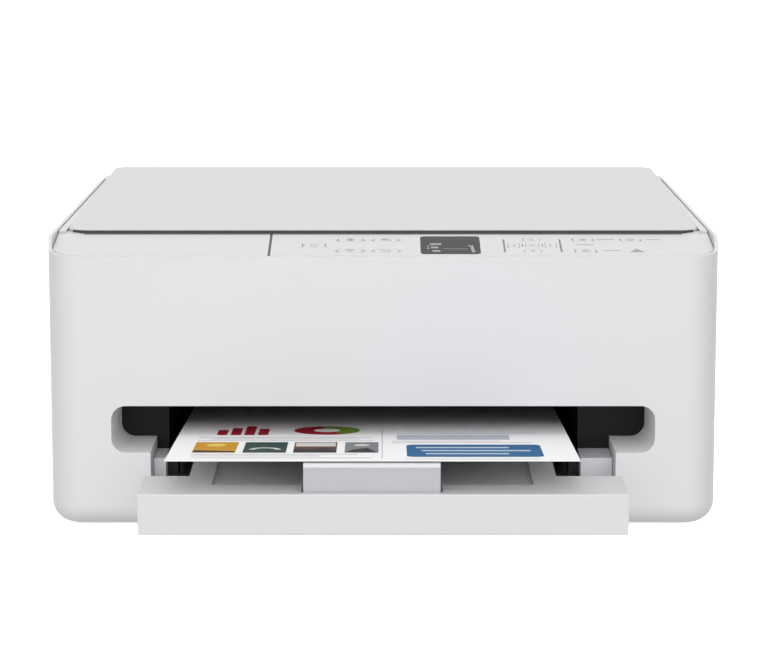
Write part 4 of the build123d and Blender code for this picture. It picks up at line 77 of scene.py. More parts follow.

# Where one solid changes its finish or its painted light
TUNNEL_LEFT = -122.3 * MM
TUNNEL_RIGHT = 111.2 * MM
# the casing's recess walls within these bounds are painted paler, as painted light
RECESS_SIDE = 152.0 * MM
RECESS_LOW = 40.0 * MM
RECESS_HIGH = 90.0 * MM
# the flap's top band this deep is painted pale, as a painted highlight
PAINTED_HIGHLIGHT_BAND = 2.3 * MM
GEAR_FACE = -175.5 * MM
BARE_SHAFT = 4.4 * MM
BOARD_PARTS = 14.0 * MM
PORT_DEPTH = 327.0

# The mechanism
FEED_DEPTH = 262.0
EJECT_DEPTH = 188.0
ROLLER_HEIGHT = 66.2
STRIP_DEPTH = 272.0
STRIP_HEIGHT = 86.5 * MM

# The dark strip in front of the document cover, painted shade for the gap there, and the plates outside
# its corners
SHADE_STRIP_DEPTH = 46.15
SHADE_STRIP_RADIUS = 12.4 * MM
SHADE_STRIP_WIDTH = 0.9 * MM
SHADE_STRIP_SINK = 3.0 * MM
SHADE_STRIP_PROUD = 0.2 * MM
SHADE_STRIP_LIP = 1.7 * MM
SHADE_STRIP_STEPS = 6
PLATE_DEPTH = 47.25
PLATE_REACH = 0.55 * MM
PLATE_GAP = 0.1 * MM

# The studio
CAMERA_SHIFT = 0.0069
SKY_SHIFT = 0.03
FLOOR_HALF = 30.0


def at_depth(depth):
    """The y place of a point this many millimetres behind the front wall."""
    return FRONT + depth * MM


# Colours and nodes


def linear(code):
    """A #RRGGBB colour as linear red, green, blue and alpha."""
    channels = [int(code[i : i + 2], 16) / 255 for i in (1, 3, 5)]
    return tuple(c / 12.92 if c <= 0.04045 else ((c + 0.055) / 1.055) ** 2.4 for c in channels) + (1.0,)


def add_node(tree, kind, settings=None, feeds=None):
    """Adds a node with its settings. Each input in feeds is linked to a socket or set to a value."""
    node = tree.nodes.new(kind)
    for name, value in (settings or {}).items():
        setattr(node, name, value)
    for name, value in (feeds or {}).items():
        if isinstance(value, bpy.types.NodeSocket):
            tree.links.new(value, node.inputs[name])
        else:
            node.inputs[name].default_value = value
    return node


def new_material(name, colour, roughness, **values):
    """A material with its shader set, its node tree and its object coordinates."""
    material = bpy.data.materials.new(name)
    material.use_nodes = True
    material.diffuse_color = colour
    tree = material.node_tree
    shader = tree.nodes["Principled BSDF"]
    shader.inputs["Base Color"].default_value = colour
    shader.inputs["Roughness"].default_value = roughness
    for socket, value in values.items():
        shader.inputs[socket.replace("_", " ")].default_value = value
    place = add_node(tree, "ShaderNodeTexCoord").outputs["Object"]
    return material, tree, shader, place


def vary_roughness(tree, shader, pattern, low, high):
    """Roughness that follows a pattern between two values."""
    spread = add_node(
        tree, "ShaderNodeMapRange", feeds={"Value": pattern, "To Min": low, "To Max": high}
    )
    tree.links.new(spread.outputs["Result"], shader.inputs["Roughness"])


def relief(tree, shader, pattern, height, spread=None):
    """Bumps of a height in metres that follow a pattern, as the roughness does where it's given."""
    bump = add_node(
        tree, "ShaderNodeBump", feeds={"Strength": 1.0, "Distance": height, "Height": pattern}
    )
    tree.links.new(bump.outputs["Normal"], shader.inputs["Normal"])
    if spread:
        vary_roughness(tree, shader, pattern, *spread)


def grain(tree, shader, place, size, height, spread=None, detail=2.0):
    """Fine bumps of the given size and height, both in metres, with their roughness."""
    noise = add_node(
        tree, "ShaderNodeTexNoise", feeds={"Scale": 1 / size, "Detail": detail, "Vector": place}
    )
    relief(tree, shader, noise.outputs["Fac"], height, spread)


def darker(colour, share):
    """The colour with its channels lowered by a share."""
    return tuple(c * (1 - share) for c in colour[:3]) + (1.0,)


def paint(tree, shader, mask, low, high):
    """Base colour that goes from one colour to another as a mask goes from 0 to 1. It is returned
    too, because a later coat may start from it."""
    mix = add_node(
        tree, "ShaderNodeMix", {"data_type": "RGBA"}, {"Factor": mask, 6: low, 7: high}
    )
    tree.links.new(mix.outputs[2], shader.inputs["Base Color"])
    return mix.outputs[2]


def mottle(tree, shader, place, size, colour, share):
    """A slow drift to a colour darker by a share, over patches of the given size in metres."""
    noise = add_node(tree, "ShaderNodeTexNoise", feeds={"Scale": 1 / size, "Vector": place})
    paint(tree, shader, noise.outputs["Fac"], colour, darker(colour, share))


def zone(tree, place, axis, low=None, high=None, mask=None):
    """A mask that is 1 between two places on an axis, and inside an earlier mask if there is one."""
    along = add_node(tree, "ShaderNodeSeparateXYZ", feeds={"Vector": place}).outputs[axis]
    for operation, limit in (("GREATER_THAN", low), ("LESS_THAN", high)):
        if limit is None:
            continue
        side = add_node(tree, "ShaderNodeMath", {"operation": operation}, {0: along, 1: limit})
        if mask is not None:
            factors = {0: mask, 1: side.outputs["Value"]}
            side = add_node(tree, "ShaderNodeMath", {"operation": "MULTIPLY"}, factors)
        mask = side.outputs["Value"]
    return mask


# Materials


def moulded_styrene(name, colour, roughness=0.46, grain_size=0.9, gloss=0.5):
    """High-impact polystyrene from a spark-eroded mould: a soft, even matte skin that breaks up
    reflections. The real grain is about 0.1 mm and is drawn coarser, so that it shows."""
    material, tree, shader, place = new_material(name, colour, roughness, Specular_IOR_Level=gloss)
    spread = (roughness - 0.05, roughness + 0.05)
    grain(tree, shader, place, grain_size * MM, 0.012 * MM, spread)
    mottle(tree, shader, place, 90 * MM, colour, 0.018)
    return material


def polished_acrylic(name, colour):
    """Tinted acrylic window with an anti-glare face: dark, flat, with soft reflections."""
    material, tree, shader, place = new_material(name, colour, 0.2, IOR=1.49, Specular_IOR_Level=0.06)
    grain(tree, shader, place, 14 * MM, 0.01 * MM, (0.16, 0.26))
    return material


def float_glass(name, colour):
    """Float glass over the scanner: clear, faintly green in its thickness, with a polished face."""
    material, tree, shader, place = new_material(
        name, colour, 0.02, IOR=1.52, Transmission_Weight=0.94
    )
    grain(tree, shader, place, 35 * MM, 0.002 * MM, (0.01, 0.05))
    return material


def nitrile_rubber(name, colour):
    """Moulded nitrile rubber: deep grey, dull, with a dusty bloom in patches."""
    material, tree, shader, place = new_material(name, colour, 0.82, IOR=1.5)
    grain(tree, shader, place, 0.7 * MM, 0.03 * MM, (0.74, 0.9))
    mottle(tree, shader, place, 12 * MM, colour, 0.15)
    return material


def drawn_steel(name, colour, along="X"):
    """Bright drawn and ground steel: fine scratches along the bar draw its reflections out. They
    are drawn about 1 mm apart and 170 mm long, coarser than real ones, so that they show."""
    material, tree, shader, place = new_material(name, colour, 0.28, Metallic=1.0)
    stretch = {"X": (6.0, 900.0, 900.0), "Y": (900.0, 6.0, 900.0)}[along]
    scratches = add_node(tree, "ShaderNodeMapping", feeds={"Scale": stretch, "Vector": place})
    noise = add_node(
        tree,
        "ShaderNodeTexNoise",
        feeds={"Scale": 1.0, "Detail": 3.0, "Vector": scratches.outputs["Vector"]},
    )
    relief(tree, shader, noise.outputs["Fac"], 0.004 * MM, (0.2, 0.36))
    return material


def zinc_plated_sheet(name, colour):
    """Hot-dip zinc-coated sheet: a cool grey metal with faint frosty spangles 6 mm across."""
    material, tree, shader, place = new_material(name, colour, 0.4, Metallic=1.0)
    spangle = add_node(tree, "ShaderNodeTexVoronoi", feeds={"Scale": 1 / (6 * MM), "Vector": place})
    paint(tree, shader, spangle.outputs["Distance"], colour, darker(colour, 0.22))
    vary_roughness(tree, shader, spangle.outputs["Distance"], 0.32, 0.5)
    return material


def natural_acetal(name, colour):
    """Injection-moulded acetal, as in gears: milky, slightly waxy, with a little light under the
    skin."""
    material, tree, shader, place = new_material(name, colour, 0.35, Subsurface_Weight=0.08)
    shader.inputs["Subsurface Radius"].default_value = (2 * MM, 2 * MM, 1.6 * MM)
    grain(tree, shader, place, 1.6 * MM, 0.008 * MM, (0.3, 0.42))
    return material


def coated_paper(name, colour):
    """Coated inkjet paper: bright, flat white with fine fibres that only soften its light."""
    material, tree, shader, place = new_material(name, colour, 0.72, IOR=1.45)
    grain(tree, shader, place, 1.3 * MM, 0.02 * MM, (0.66, 0.8), 6.0)
    mottle(tree, shader, place, 4 * MM, colour, 0.012)
    return material


def printing_ink(name, colour, roughness=0.6, gloss=0.35):
    """Pad-printed or jetted ink: a thin flat film that takes the sheen of what it lies on."""
    material, tree, shader, place = new_material(name, colour, roughness, Specular_IOR_Level=gloss)
    spread = (roughness - 0.06, roughness + 0.06)
    grain(tree, shader, place, 0.5 * MM, 0.004 * MM, spread)
    mottle(tree, shader, place, 6 * MM, colour, 0.06)
    return material


def two_shot_styrene(name, outer, inner):
    """Two-shot moulded steps: satin grey outside the paper tunnel and dull black inside it."""
    material, tree, shader, place = new_material(name, outer, 0.5, Specular_IOR_Level=0.3)
    paint(tree, shader, zone(tree, place, "X", TUNNEL_LEFT, TUNNEL_RIGHT), outer, inner)
    grain(tree, shader, place, 0.9 * MM, 0.012 * MM, (0.45, 0.6))
    return material


def styrene_with_painted_recess_light(name, colour, painted_recess_light):
    """The casing's matte skin, painted paler on the walls of its finger recesses: painted light that
    brightens those walls.
    """
    material, tree, shader, place = new_material(name, colour, 0.46)
    # the recess walls, which are painted paler as painted light
    recess = zone(tree, place, "Y", at_depth(1.0), at_depth(48.0))
    recess = zone(tree, place, "X", -RECESS_SIDE, RECESS_SIDE, recess)
    recess = zone(tree, place, "Z", RECESS_LOW, RECESS_HIGH, recess)
    paint(tree, shader, recess, colour, painted_recess_light)
    grain(tree, shader, place, 0.9 * MM, 0.012 * MM, (0.41, 0.51))
    return material


def styrene_with_painted_highlight(name, colour, highlight_colour, height):
    """Satin moulding whose upper rim is painted pale: a painted highlight for the thin line of light that
    its rounded top edge catches.
    """
    material, tree, shader, place = new_material(name, colour, 0.42)
    paint(tree, shader, zone(tree, place, "Z", height), colour, highlight_colour)
    grain(tree, shader, place, 0.9 * MM, 0.012 * MM, (0.36, 0.48))
    return material


def roller_with_gear(name, axis_depth, axis_height, coat, steel, acetal):
    """A ground steel shaft with a gritty coated roller on it and an acetal gear on its left end."""
    material, tree, shader, place = new_material(name, steel, 0.3)
    axis = (0, at_depth(axis_depth), axis_height * MM)
    spoke = add_node(tree, "ShaderNodeVectorMath", {"operation": "SUBTRACT"}, {0: place, 1: axis})
    spoke = add_node(
        tree, "ShaderNodeVectorMath", {"operation": "MULTIPLY"}, {0: spoke.outputs[0], 1: (0, 1, 1)}
    )
    radius = add_node(tree, "ShaderNodeVectorMath", {"operation": "LENGTH"}, {0: spoke.outputs[0]})
    test = {0: radius.outputs["Value"], 1: BARE_SHAFT}
    coated = add_node(tree, "ShaderNodeMath", {"operation": "GREATER_THAN"}, test).outputs["Value"]
    gear = zone(tree, place, "X", high=GEAR_FACE)
    paint(tree, shader, gear, paint(tree, shader, coated, steel, coat), acetal)
    dull = add_node(tree, "ShaderNodeMath", {"operation": "MAXIMUM"}, {0: coated, 1: gear})
    bare = add_node(
        tree, "ShaderNodeMath", {"operation": "SUBTRACT"}, {0: 1.0, 1: dull.outputs["Value"]}
    )
    tree.links.new(bare.outputs["Value"], shader.inputs["Metallic"])
    grain(tree, shader, place, 0.5 * MM, 0.02 * MM, (0.28, 0.6))
    return material


def circuit_board(name, mask_green, part_black, face):
    """Glass-epoxy board: glossy green solder mask over copper tracks 11 mm apart, with black parts
    on its face and a bright metal port behind it."""
    material, tree, shader, place = new_material(name, mask_green, 0.35)
    tracks = add_node(
        tree,
        "ShaderNodeTexBrick",
        feeds={
            "Scale": 90.0,
            "Color1": mask_green,
            "Color2": darker(mask_green, 0.12),
            "Mortar": linear("#2E7A4C"),
            "Vector": place,
        },
    )
    parts = zone(tree, place, "Y", high=face)
    shell = zone(tree, place, "Y", at_depth(PORT_DEPTH))
    board = paint(tree, shader, parts, tracks.outputs["Color"], part_black)
    paint(tree, shader, shell, board, linear("#B9BBBD"))
    tree.links.new(shell, shader.inputs["Metallic"])
    grain(tree, shader, place, 1.0 * MM, 0.01 * MM, (0.25, 0.45))
    return material


# Mesh helpers


def node_object(name):
    """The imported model's object for a node."""
    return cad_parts[name]


def dress(material, *nodes):
    """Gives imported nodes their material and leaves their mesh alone."""
    for name in nodes:
        slots = node_object(name).data.materials
        slots.clear()
        slots.append(material)


def new_object(name, data):
    """An object in the scene for a mesh, light or camera."""
    item = bpy.data.objects.new(name, data)
    bpy.context.scene.collection.objects.link(item)
    return item


def new_piece(name, bm, material, body):
    """Turns a finished bmesh into a piece that rides on a body."""
    bmesh.ops.recalc_face_normals(bm, faces=bm.faces)
    mesh = bpy.data.meshes.new(name)
    bm.to_mesh(mesh)
    bm.free()
    mesh.materials.append(material)
    piece = new_object(name, mesh)
    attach(piece, body)
    return piece


def round_off(bm, geom, offset, segments, affect="EDGES"):
    """Rounds edges or corners with a quarter circle."""
    bmesh.ops.bevel(
        bm, geom=geom, offset=offset, affect=affect, segments=segments, profile=0.5, material=-1
    )


def add_block(bm, size, centre):
    """A block of a size in metres round its centre."""
    made = bmesh.ops.create_cube(bm, size=1.0)["verts"]
    bmesh.ops.scale(bm, vec=size, verts=made)
    bmesh.ops.translate(bm, vec=centre, verts=made)
    return made


def thicken(bm, faces, matrix, thickness):
    """Raises flat faces, drawn in the matrix's XY plane, into thin closed films."""
    raised = bmesh.ops.extrude_face_region(bm, geom=faces)["geom"]
    verts = [item for item in raised if isinstance(item, bmesh.types.BMVert)]
    bmesh.ops.translate(bm, verts=verts, vec=(0, 0, thickness))
    linked = {vert for face in faces if face.is_valid for vert in face.verts} | set(verts)
    bmesh.ops.transform(bm, matrix=matrix, verts=list(linked))


def add_bar(bm, matrix, thickness, x, y, width, length, radius=0.0, turn=0.0):
    """A rectangle round its middle, turned by degrees, with rounded corners where a radius is given."""
    before = set(bm.faces)
    made = bmesh.ops.create_grid(bm, x_segments=1, y_segments=1, size=0.5)["verts"]
    bmesh.ops.scale(bm, vec=(width, length, 1), verts=made)
    if radius:
        round_off(bm, made, radius, 5, "VERTICES")
    faces = [face for face in bm.faces if face not in before]
    local = Matrix.Translation((x, y, 0)) @ Matrix.Rotation(math.radians(turn), 4, "Z")
    thicken(bm, faces, matrix @ local, thickness)


def add_shape(bm, matrix, thickness, *points):
    """A flat shape through a few points."""
    verts = [bm.verts.new((x, y, 0)) for x, y in points]
    thicken(bm, [bm.faces.new(verts)], matrix, thickness)


def add_dot(bm, matrix, thickness, x, y, radius, segments=24):
    """A round dot."""
    made = bmesh.ops.create_circle(bm, cap_ends=True, radius=radius, segments=segments)["verts"]
    faces = list({face for vert in made for face in vert.link_faces})
    thicken(bm, faces, matrix @ Matrix.Translation((x, y, 0)), thickness)


def add_arc(bm, matrix, thickness, x, y, radius, width, start, end, steps):
    """A band along an arc, from one angle to another in degrees."""
    verts = []
    for index in range(steps + 1):
        angle = math.radians(start + (end - start) * index / steps)
        for reach in (radius - width / 2, radius + width / 2):
            point = (x + reach * math.cos(angle), y + reach * math.sin(angle), 0)
            verts.append(bm.verts.new(point))
    faces = []
    for index in range(steps):
        a, b, c, d = verts[2 * index : 2 * index + 4]
        faces.append(bm.faces.new((a, b, d, c)))
    thicken(bm, faces, matrix, thickness)


MARKS = {"bar": add_bar, "shape": add_shape, "dot": add_dot, "arc": add_arc}


def print_piece(name, ink, matrix, marks, body):
    """A film of ink for each mark. A mark names its kind and gives that function's last values, in
    millimetres and degrees."""
    face = matrix @ Matrix.Scale(MM, 4)
    bm = bmesh.new()
    for kind, *numbers in marks:
        MARKS[kind](bm, face, sizes().film / MM, *numbers)
    new_piece(name, bm, ink, body)


def bars(radius, *rows):
    """Bars of x, y, width and length that share a corner radius."""
    return tuple(("bar", *row, radius) for row in rows)


def panel_matrix(lift=0.0):
    """The operation panel's face: X across, Y up its slope and Z out of it, from the middle of its
    front edge."""
    turn = Matrix.Rotation(PANEL_SLOPE, 4, "X")
    return Matrix.Translation((0, FRONT, PANEL_EDGE)) @ turn @ Matrix.Translation((0, 0, lift))


def sheet_matrix(lift=0.0):
    """The printed face: X from the left edge, Y from the front edge and Z out of the paper."""
    corner = (sheet_low.x, sheet_low.y + SHEET_THICKNESS * math.sin(SHEET_SLOPE), sheet_high.z)
    turn = Matrix.Rotation(-SHEET_SLOPE, 4, "X")
    return Matrix.Translation(corner) @ turn @ Matrix.Translation((0, 0, lift))


def panel_place(node):
    """Where a key or the display has its middle on the panel's face, from its corners no deeper
    than a skin under that face."""
    low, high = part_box(node)
    turned = panel_matrix().inverted()
    corners = [turned @ vert.co for vert in node_object(node).data.vertices]
    top = [corner.y for corner in corners if corner.z > -SKIN]
    return (low.x + high.x) / 2, (min(top) + max(top)) / 2


# Settings

COLOUR = {"subtype": "COLOR", "size": 4}


class PrinterColours(bpy.types.PropertyGroup):
    """Colours of the mouldings and prints."""

    body: FloatVectorProperty(
        name="Body", description="Casing, panel and rear cover", default=linear("#D9D9DB"), **COLOUR
    )
    lid: FloatVectorProperty(
        name="Document cover",
        description="The cover over the glass",
        default=linear("#D5D5D5"),
        **COLOUR,
    )
    tray: FloatVectorProperty(
        name="Trays", description="Output tray and cassette", default=linear("#D6D6D8"), **COLOUR
    )
    flap: FloatVectorProperty(
        name="Paper support", description="The flap on the tray", default=linear("#B7B6BA"), **COLOUR
    )
    keys: FloatVectorProperty(
        name="Keys", description="Key caps", default=linear("#D8D8DA"), **COLOUR
    )
    inner_black: FloatVectorProperty(
        name="Inner black", description="Paper path and deck", default=linear("#1B1B1D"), **COLOUR
    )
    guide_grey: FloatVectorProperty(
        name="Guide grey",
        description="Tray steps and paper guides",
        default=linear("#DEDDE1"),
        **COLOUR,
    )
    print_grey: FloatVectorProperty(
        name="Print grey",
        description="Symbols beside the keys",
        default=linear("#A4A4A6"),
        **COLOUR,
    )
    window: FloatVectorProperty(
        name="Display", description="Display window", default=linear("#232426"), **COLOUR
    )
    floor: FloatVectorProperty(
        name="Floor", description="The floor of the studio", default=linear("#FBFBFB"), **COLOUR
    )


class PrinterSizes(bpy.types.PropertyGroup):
    """Sizes of prints and small fittings."""

    film: FloatProperty(
        name="Print film", description="Thickness of printed marks", unit="LENGTH", default=0.02 * MM
    )
    lift: FloatProperty(
        name="Print lift", description="Gap under printed marks", unit="LENGTH", default=0.03 * MM
    )
    grain: FloatProperty(
        name="Grain", description="Size of the moulded grain, in millimetres", min=0.1, default=0.9
    )
    screw_head: FloatProperty(
        name="Screw head", description="Radius of the screw heads", unit="LENGTH", default=2.7 * MM
    )


class StudioSettings(bpy.types.PropertyGroup):
    """Camera and lights."""

    camera_distance: FloatProperty(
        name="Camera distance",
        description="From the front wall to the lens",
        unit="LENGTH",
        default=1.5026,
    )
    camera_height: FloatProperty(
        name="Camera height", description="Over the desk", unit="LENGTH", default=0.3596
    )
    camera_pitch: FloatProperty(
        name="Camera pitch",
        description="How far it looks down",
        subtype="ANGLE",
        default=math.radians(9.208),
    )
    camera_lens: FloatProperty(
        name="Lens", description="Focal length in millimetres", default=127.88
    )
    sky: FloatProperty(
        name="Sky", description="Strength of the even light all round", min=0, default=1.21
    )
    sky_falloff: FloatProperty(
        name="Sky falloff", description="Share of its light lost at the sides", default=0.86
    )
    ground_dim: FloatProperty(
        name="Ground dim", description="Share of the light lost straight below", default=1.0
    )
    floor_glow: FloatProperty(
        name="Floor glow", description="Light that the floor gives off", min=0, default=0.75
    )
    front_light: FloatProperty(
        name="Front light", description="Power of the front softbox", min=0, default=18.0
    )
    top_light: FloatProperty(
        name="Top light", description="Power of the top softbox", min=0, default=1.0
    )


def shade(part):
    """A colour from the settings."""
    return tuple(getattr(bpy.context.scene.printer_colours, part))


def sizes():
    """The settings that hold sizes."""
    return bpy.context.scene.printer_sizes


# Operators


class PRINTER_OT_mouldings(bpy.types.Operator):
    """Gives the casing, panel, lid, trays and keys their moulded finishes"""

    bl_idname = "printer.mouldings"
    bl_label = "Dress the mouldings"

    def execute(self, context):
        body = shade("body")
        guide = shade("guide_grey")
        black = shade("inner_black")
        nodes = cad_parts
        keys = [node for node in nodes if node.endswith("_key") or node.startswith("menu_key")]
        for name, colour, roughness, gloss, dressed in (
            ("styrene_body_matte", body, 0.46, 0.5, BODY_NODES),
            ("styrene_cover_matte", shade("lid"), 0.5, 0.5, ("lid_shell",)),
            ("styrene_tray_satin", shade("tray"), 0.4, 0.5, ("output_tray", "cassette")),
            ("styrene_keys_satin", shade("keys"), 0.42, 0.5, keys),
            ("styrene_base_grey", linear("#8B8B8E"), 0.6, 0.5, ("bottom_case",)),
            ("abs_inner_black", black, 0.6, 0.18, BLACK_NODES),
            ("abs_guide_grey", guide, 0.44, 0.5, GUIDE_NODES),
            ("abs_service_grey", linear("#35363A"), 0.55, 0.5, SERVICE_NODES),
        ):
            skin = moulded_styrene(name, colour, roughness, sizes().grain, gloss)
            dress(skin, *dressed)
        # the pale second colour is painted light on the casing's recess walls
        dress(styrene_with_painted_recess_light("styrene_casing_matte", body, linear("#F8F8FA")), "outer_casing")
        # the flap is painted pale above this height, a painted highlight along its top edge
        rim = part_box("paper_support")[1].z - PAINTED_HIGHLIGHT_BAND
        flap = styrene_with_painted_highlight("styrene_flap_grey", shade("flap"), linear("#E4E3E7"), rim)
        dress(flap, "paper_support")
        dress(two_shot_styrene("abs_two_shot_steps", guide, black), "tray_guides")
        return {"FINISHED"}


BODY_NODES = ("rear_panel", "transport_cover", "scanner_case", "scanner_frame", "operation_panel")
BLACK_NODES = ("exit_frame", "inner_deck", "platen", "carriage", "hold_down_rollers", "pickup_arm")
GUIDE_NODES = ("width_guide_left", "width_guide_right", "length_guide", "lid_hinges")
SERVICE_NODES = ("purge_unit", "power_supply", "scan_bar", "black_cartridge", "colour_cartridge")


class PRINTER_OT_metals(bpy.types.Operator):
    """Gives rails, rollers, motors, gears and the chassis their finishes"""

    bl_idname = "printer.metals"
    bl_label = "Dress the mechanism"

    def execute(self, context):
        dress(drawn_steel("drawn_steel_rail", linear("#C4C6C8")), "guide_rail")
        dress(drawn_steel("drawn_steel_scan_rail", linear("#C4C6C8")), "scan_rail")
        dress(zinc_plated_sheet("zinc_plated_sheet", linear("#A9ACAE")), "chassis_frame")
        dress(drawn_steel("nickel_plated_can", linear("#ADAEB0"), "Y"), "carriage_motor", "feed_motor")
        acetal = natural_acetal("natural_acetal", linear("#E9E6DC"))
        dress(acetal, "idler_gear", "motor_pinion", "motor_pulley", "idler_pulley", "guide_pinion")
        for node, finish, depth, coat in (
            ("feed_roller", "grit_coated_feed_roller", FEED_DEPTH, "#5C5D60"),
            ("eject_roller", "rubber_collared_eject_roller", EJECT_DEPTH, "#2B2B2D"),
        ):
            colours = [linear(code) for code in (coat, "#BFC1C3", "#E6E3DA")]
            dress(roller_with_gear(finish, depth, ROLLER_HEIGHT, *colours), node)
        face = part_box("main_board")[0].y + BOARD_PARTS
        board = circuit_board("glass_epoxy_board", linear("#1D5B36"), linear("#1B1B1D"), face)
        dress(board, "main_board")
        return {"FINISHED"}


class PRINTER_OT_rubber_glass_paper(bpy.types.Operator):
    """Gives the feet, the pickup roller, the belt, the glass, the display and the sheet their finishes"""

    bl_idname = "printer.rubber_glass_paper"
    bl_label = "Dress rubber, glass and paper"

    def execute(self, context):
        dress(nitrile_rubber("nitrile_rubber_feet", linear("#4A4A4C")), "rubber_feet", "pickup_roller")
        dress(nitrile_rubber("polyurethane_belt", linear("#1E1E1F")), "drive_belt")
        dress(float_glass("float_glass_scanner", linear("#E3F0EA")), "scanner_glass")
        dress(polished_acrylic("tinted_acrylic_window", shade("window")), "display")
        dress(coated_paper("coated_inkjet_paper", linear("#FAFAFB")), "printed_sheet")
        return {"FINISHED"}


class PRINTER_OT_panel_marks(bpy.types.Operator):
    """Prints the symbols beside and on the keys"""

    bl_idname = "printer.panel_marks"
    bl_label = "Print the panel's symbols"

    def execute(self, context):
        flat = panel_matrix(sizes().lift)
        ink = printing_ink("pad_print_grey", shade("print_grey"))
        dark = printing_ink("pad_print_dark", linear("#8C8C8F"))
        print_piece("arrow_brackets", dark, flat, ARROW_BRACKETS, "scanner")
        print_piece("panel_marks", ink, flat, PANEL_MARKS, "scanner")
        for name, marks in KEY_SYMBOLS.items():
            x, up = panel_place(name)
            place = flat @ Matrix.Translation((x, up, 0))
            print_piece(name + "_symbol", ink, place, marks, name)
        return {"FINISHED"}


# Marks on the fixed panel, in millimetres from the middle of its front edge
ARROW_BRACKETS = bars(0.5, (67.4, 22.0, 1.1, 25.0), (98.8, 22.0, 1.1, 25.0))
PANEL_MARKS = (
    *bars(0.35, (77.6, 22.6, 0.8, 6.0), (88.6, 22.6, 0.8, 6.0)),
    # lines beside the keys at the right
    *bars(0.45, (124.5, 34.4, 10.0, 1.0), (151.5, 34.0, 8.0, 1.0)),
    *bars(0.45, (112.6, 24.0, 10.0, 1.0), (126.6, 12.6, 10.0, 1.0)),
    # ticks at the keys' sides
    *bars(0.5, (106.2, 34.8, 1.2, 2.4), (117.6, 33.2, 1.2, 2.4), (133.0, 33.6, 1.2, 2.4)),
    *bars(0.5, (144.2, 32.4, 1.2, 2.4), (106.4, 12.0, 1.2, 2.4), (118.2, 10.6, 1.2, 2.4)),
    *bars(0.5, (-44.2, 23.0, 1.2, 2.8), (-32.4, 23.0, 1.2, 2.8)),
    *bars(0.5, *[(x, up, 1.3, 2.2) for x in (-26.0, -10.6, -6.0, 9.2) for up in (33.0, 11.6)]),
    # the lamp
    ("shape", (136.4, 9.2), (144.8, 9.2), (140.6, 16.4)),
)

# Symbols on the keys, in millimetres from each key's middle
STROKE = 0.55
START_SYMBOL = (
    ("arc", 0.0, 0.0, 2.0, STROKE, 0, 360, 24),
    ("shape", (-0.6, -1.0), (1.2, 0.0), (-0.6, 1.0)),
)
KEY_SYMBOLS = {
    "power_key": (
        ("arc", 0.0, 0.0, 2.1, STROKE, 125, 415, 20),
        ("bar", 0.0, 1.7, STROKE, 2.4),
    ),
    # a roof over a square
    "menu_key_rear_left": (
        ("shape", (-2.6, 0.4), (2.6, 0.4), (0.0, 2.6)),
        ("bar", 0.0, -0.9, 3.2, 2.0),
    ),
    # a page with two tabs
    "menu_key_rear_right": (
        ("bar", -0.8, 0.5, 3.6, 3.4, 0.4),
        ("bar", 2.3, -1.5, 1.6, STROKE),
        ("bar", 2.3, 0.0, 1.6, STROKE),
    ),
    # waves over a dot
    "menu_key_front_left": (
        ("dot", 0.0, -1.7, 0.6, 12),
        ("arc", 0.0, -1.7, 1.8, STROKE, 50, 130, 8),
        ("arc", 0.0, -1.7, 3.0, STROKE, 50, 130, 8),
        ("arc", 0.0, -1.7, 4.2, STROKE, 50, 130, 8),
    ),
    # a bent arrow
    "menu_key_front_right": (
        ("arc", 0.6, 0.0, 1.7, STROKE, -90, 90, 12),
        ("bar", -0.9, -1.7, 3.0, STROKE),
        ("bar", -0.9, 1.7, 3.0, STROKE),
        ("shape", (-3.6, 1.7), (-2.2, 0.5), (-2.2, 2.9)),
    ),
    "left_key": (("shape", (0.9, -1.5), (0.9, 1.5), (-1.1, 0.0)),),
    "right_key": (("shape", (-0.9, 1.5), (-0.9, -1.5), (1.1, 0.0)),),
    "up_key": (("shape", (-1.5, -0.9), (1.5, -0.9), (0.0, 1.1)),),
    "down_key": (("shape", (1.5, 0.9), (-1.5, 0.9), (0.0, -1.1)),),
    "ok_key": (("bar", 0.0, 0.0, 4.2, 0.7, 0.3),),
    "stop_key": (("bar", 0.0, 0.0, 3.4, 2.6, 0.5),),
    "black_key": START_SYMBOL,
    "colour_key": START_SYMBOL,
}


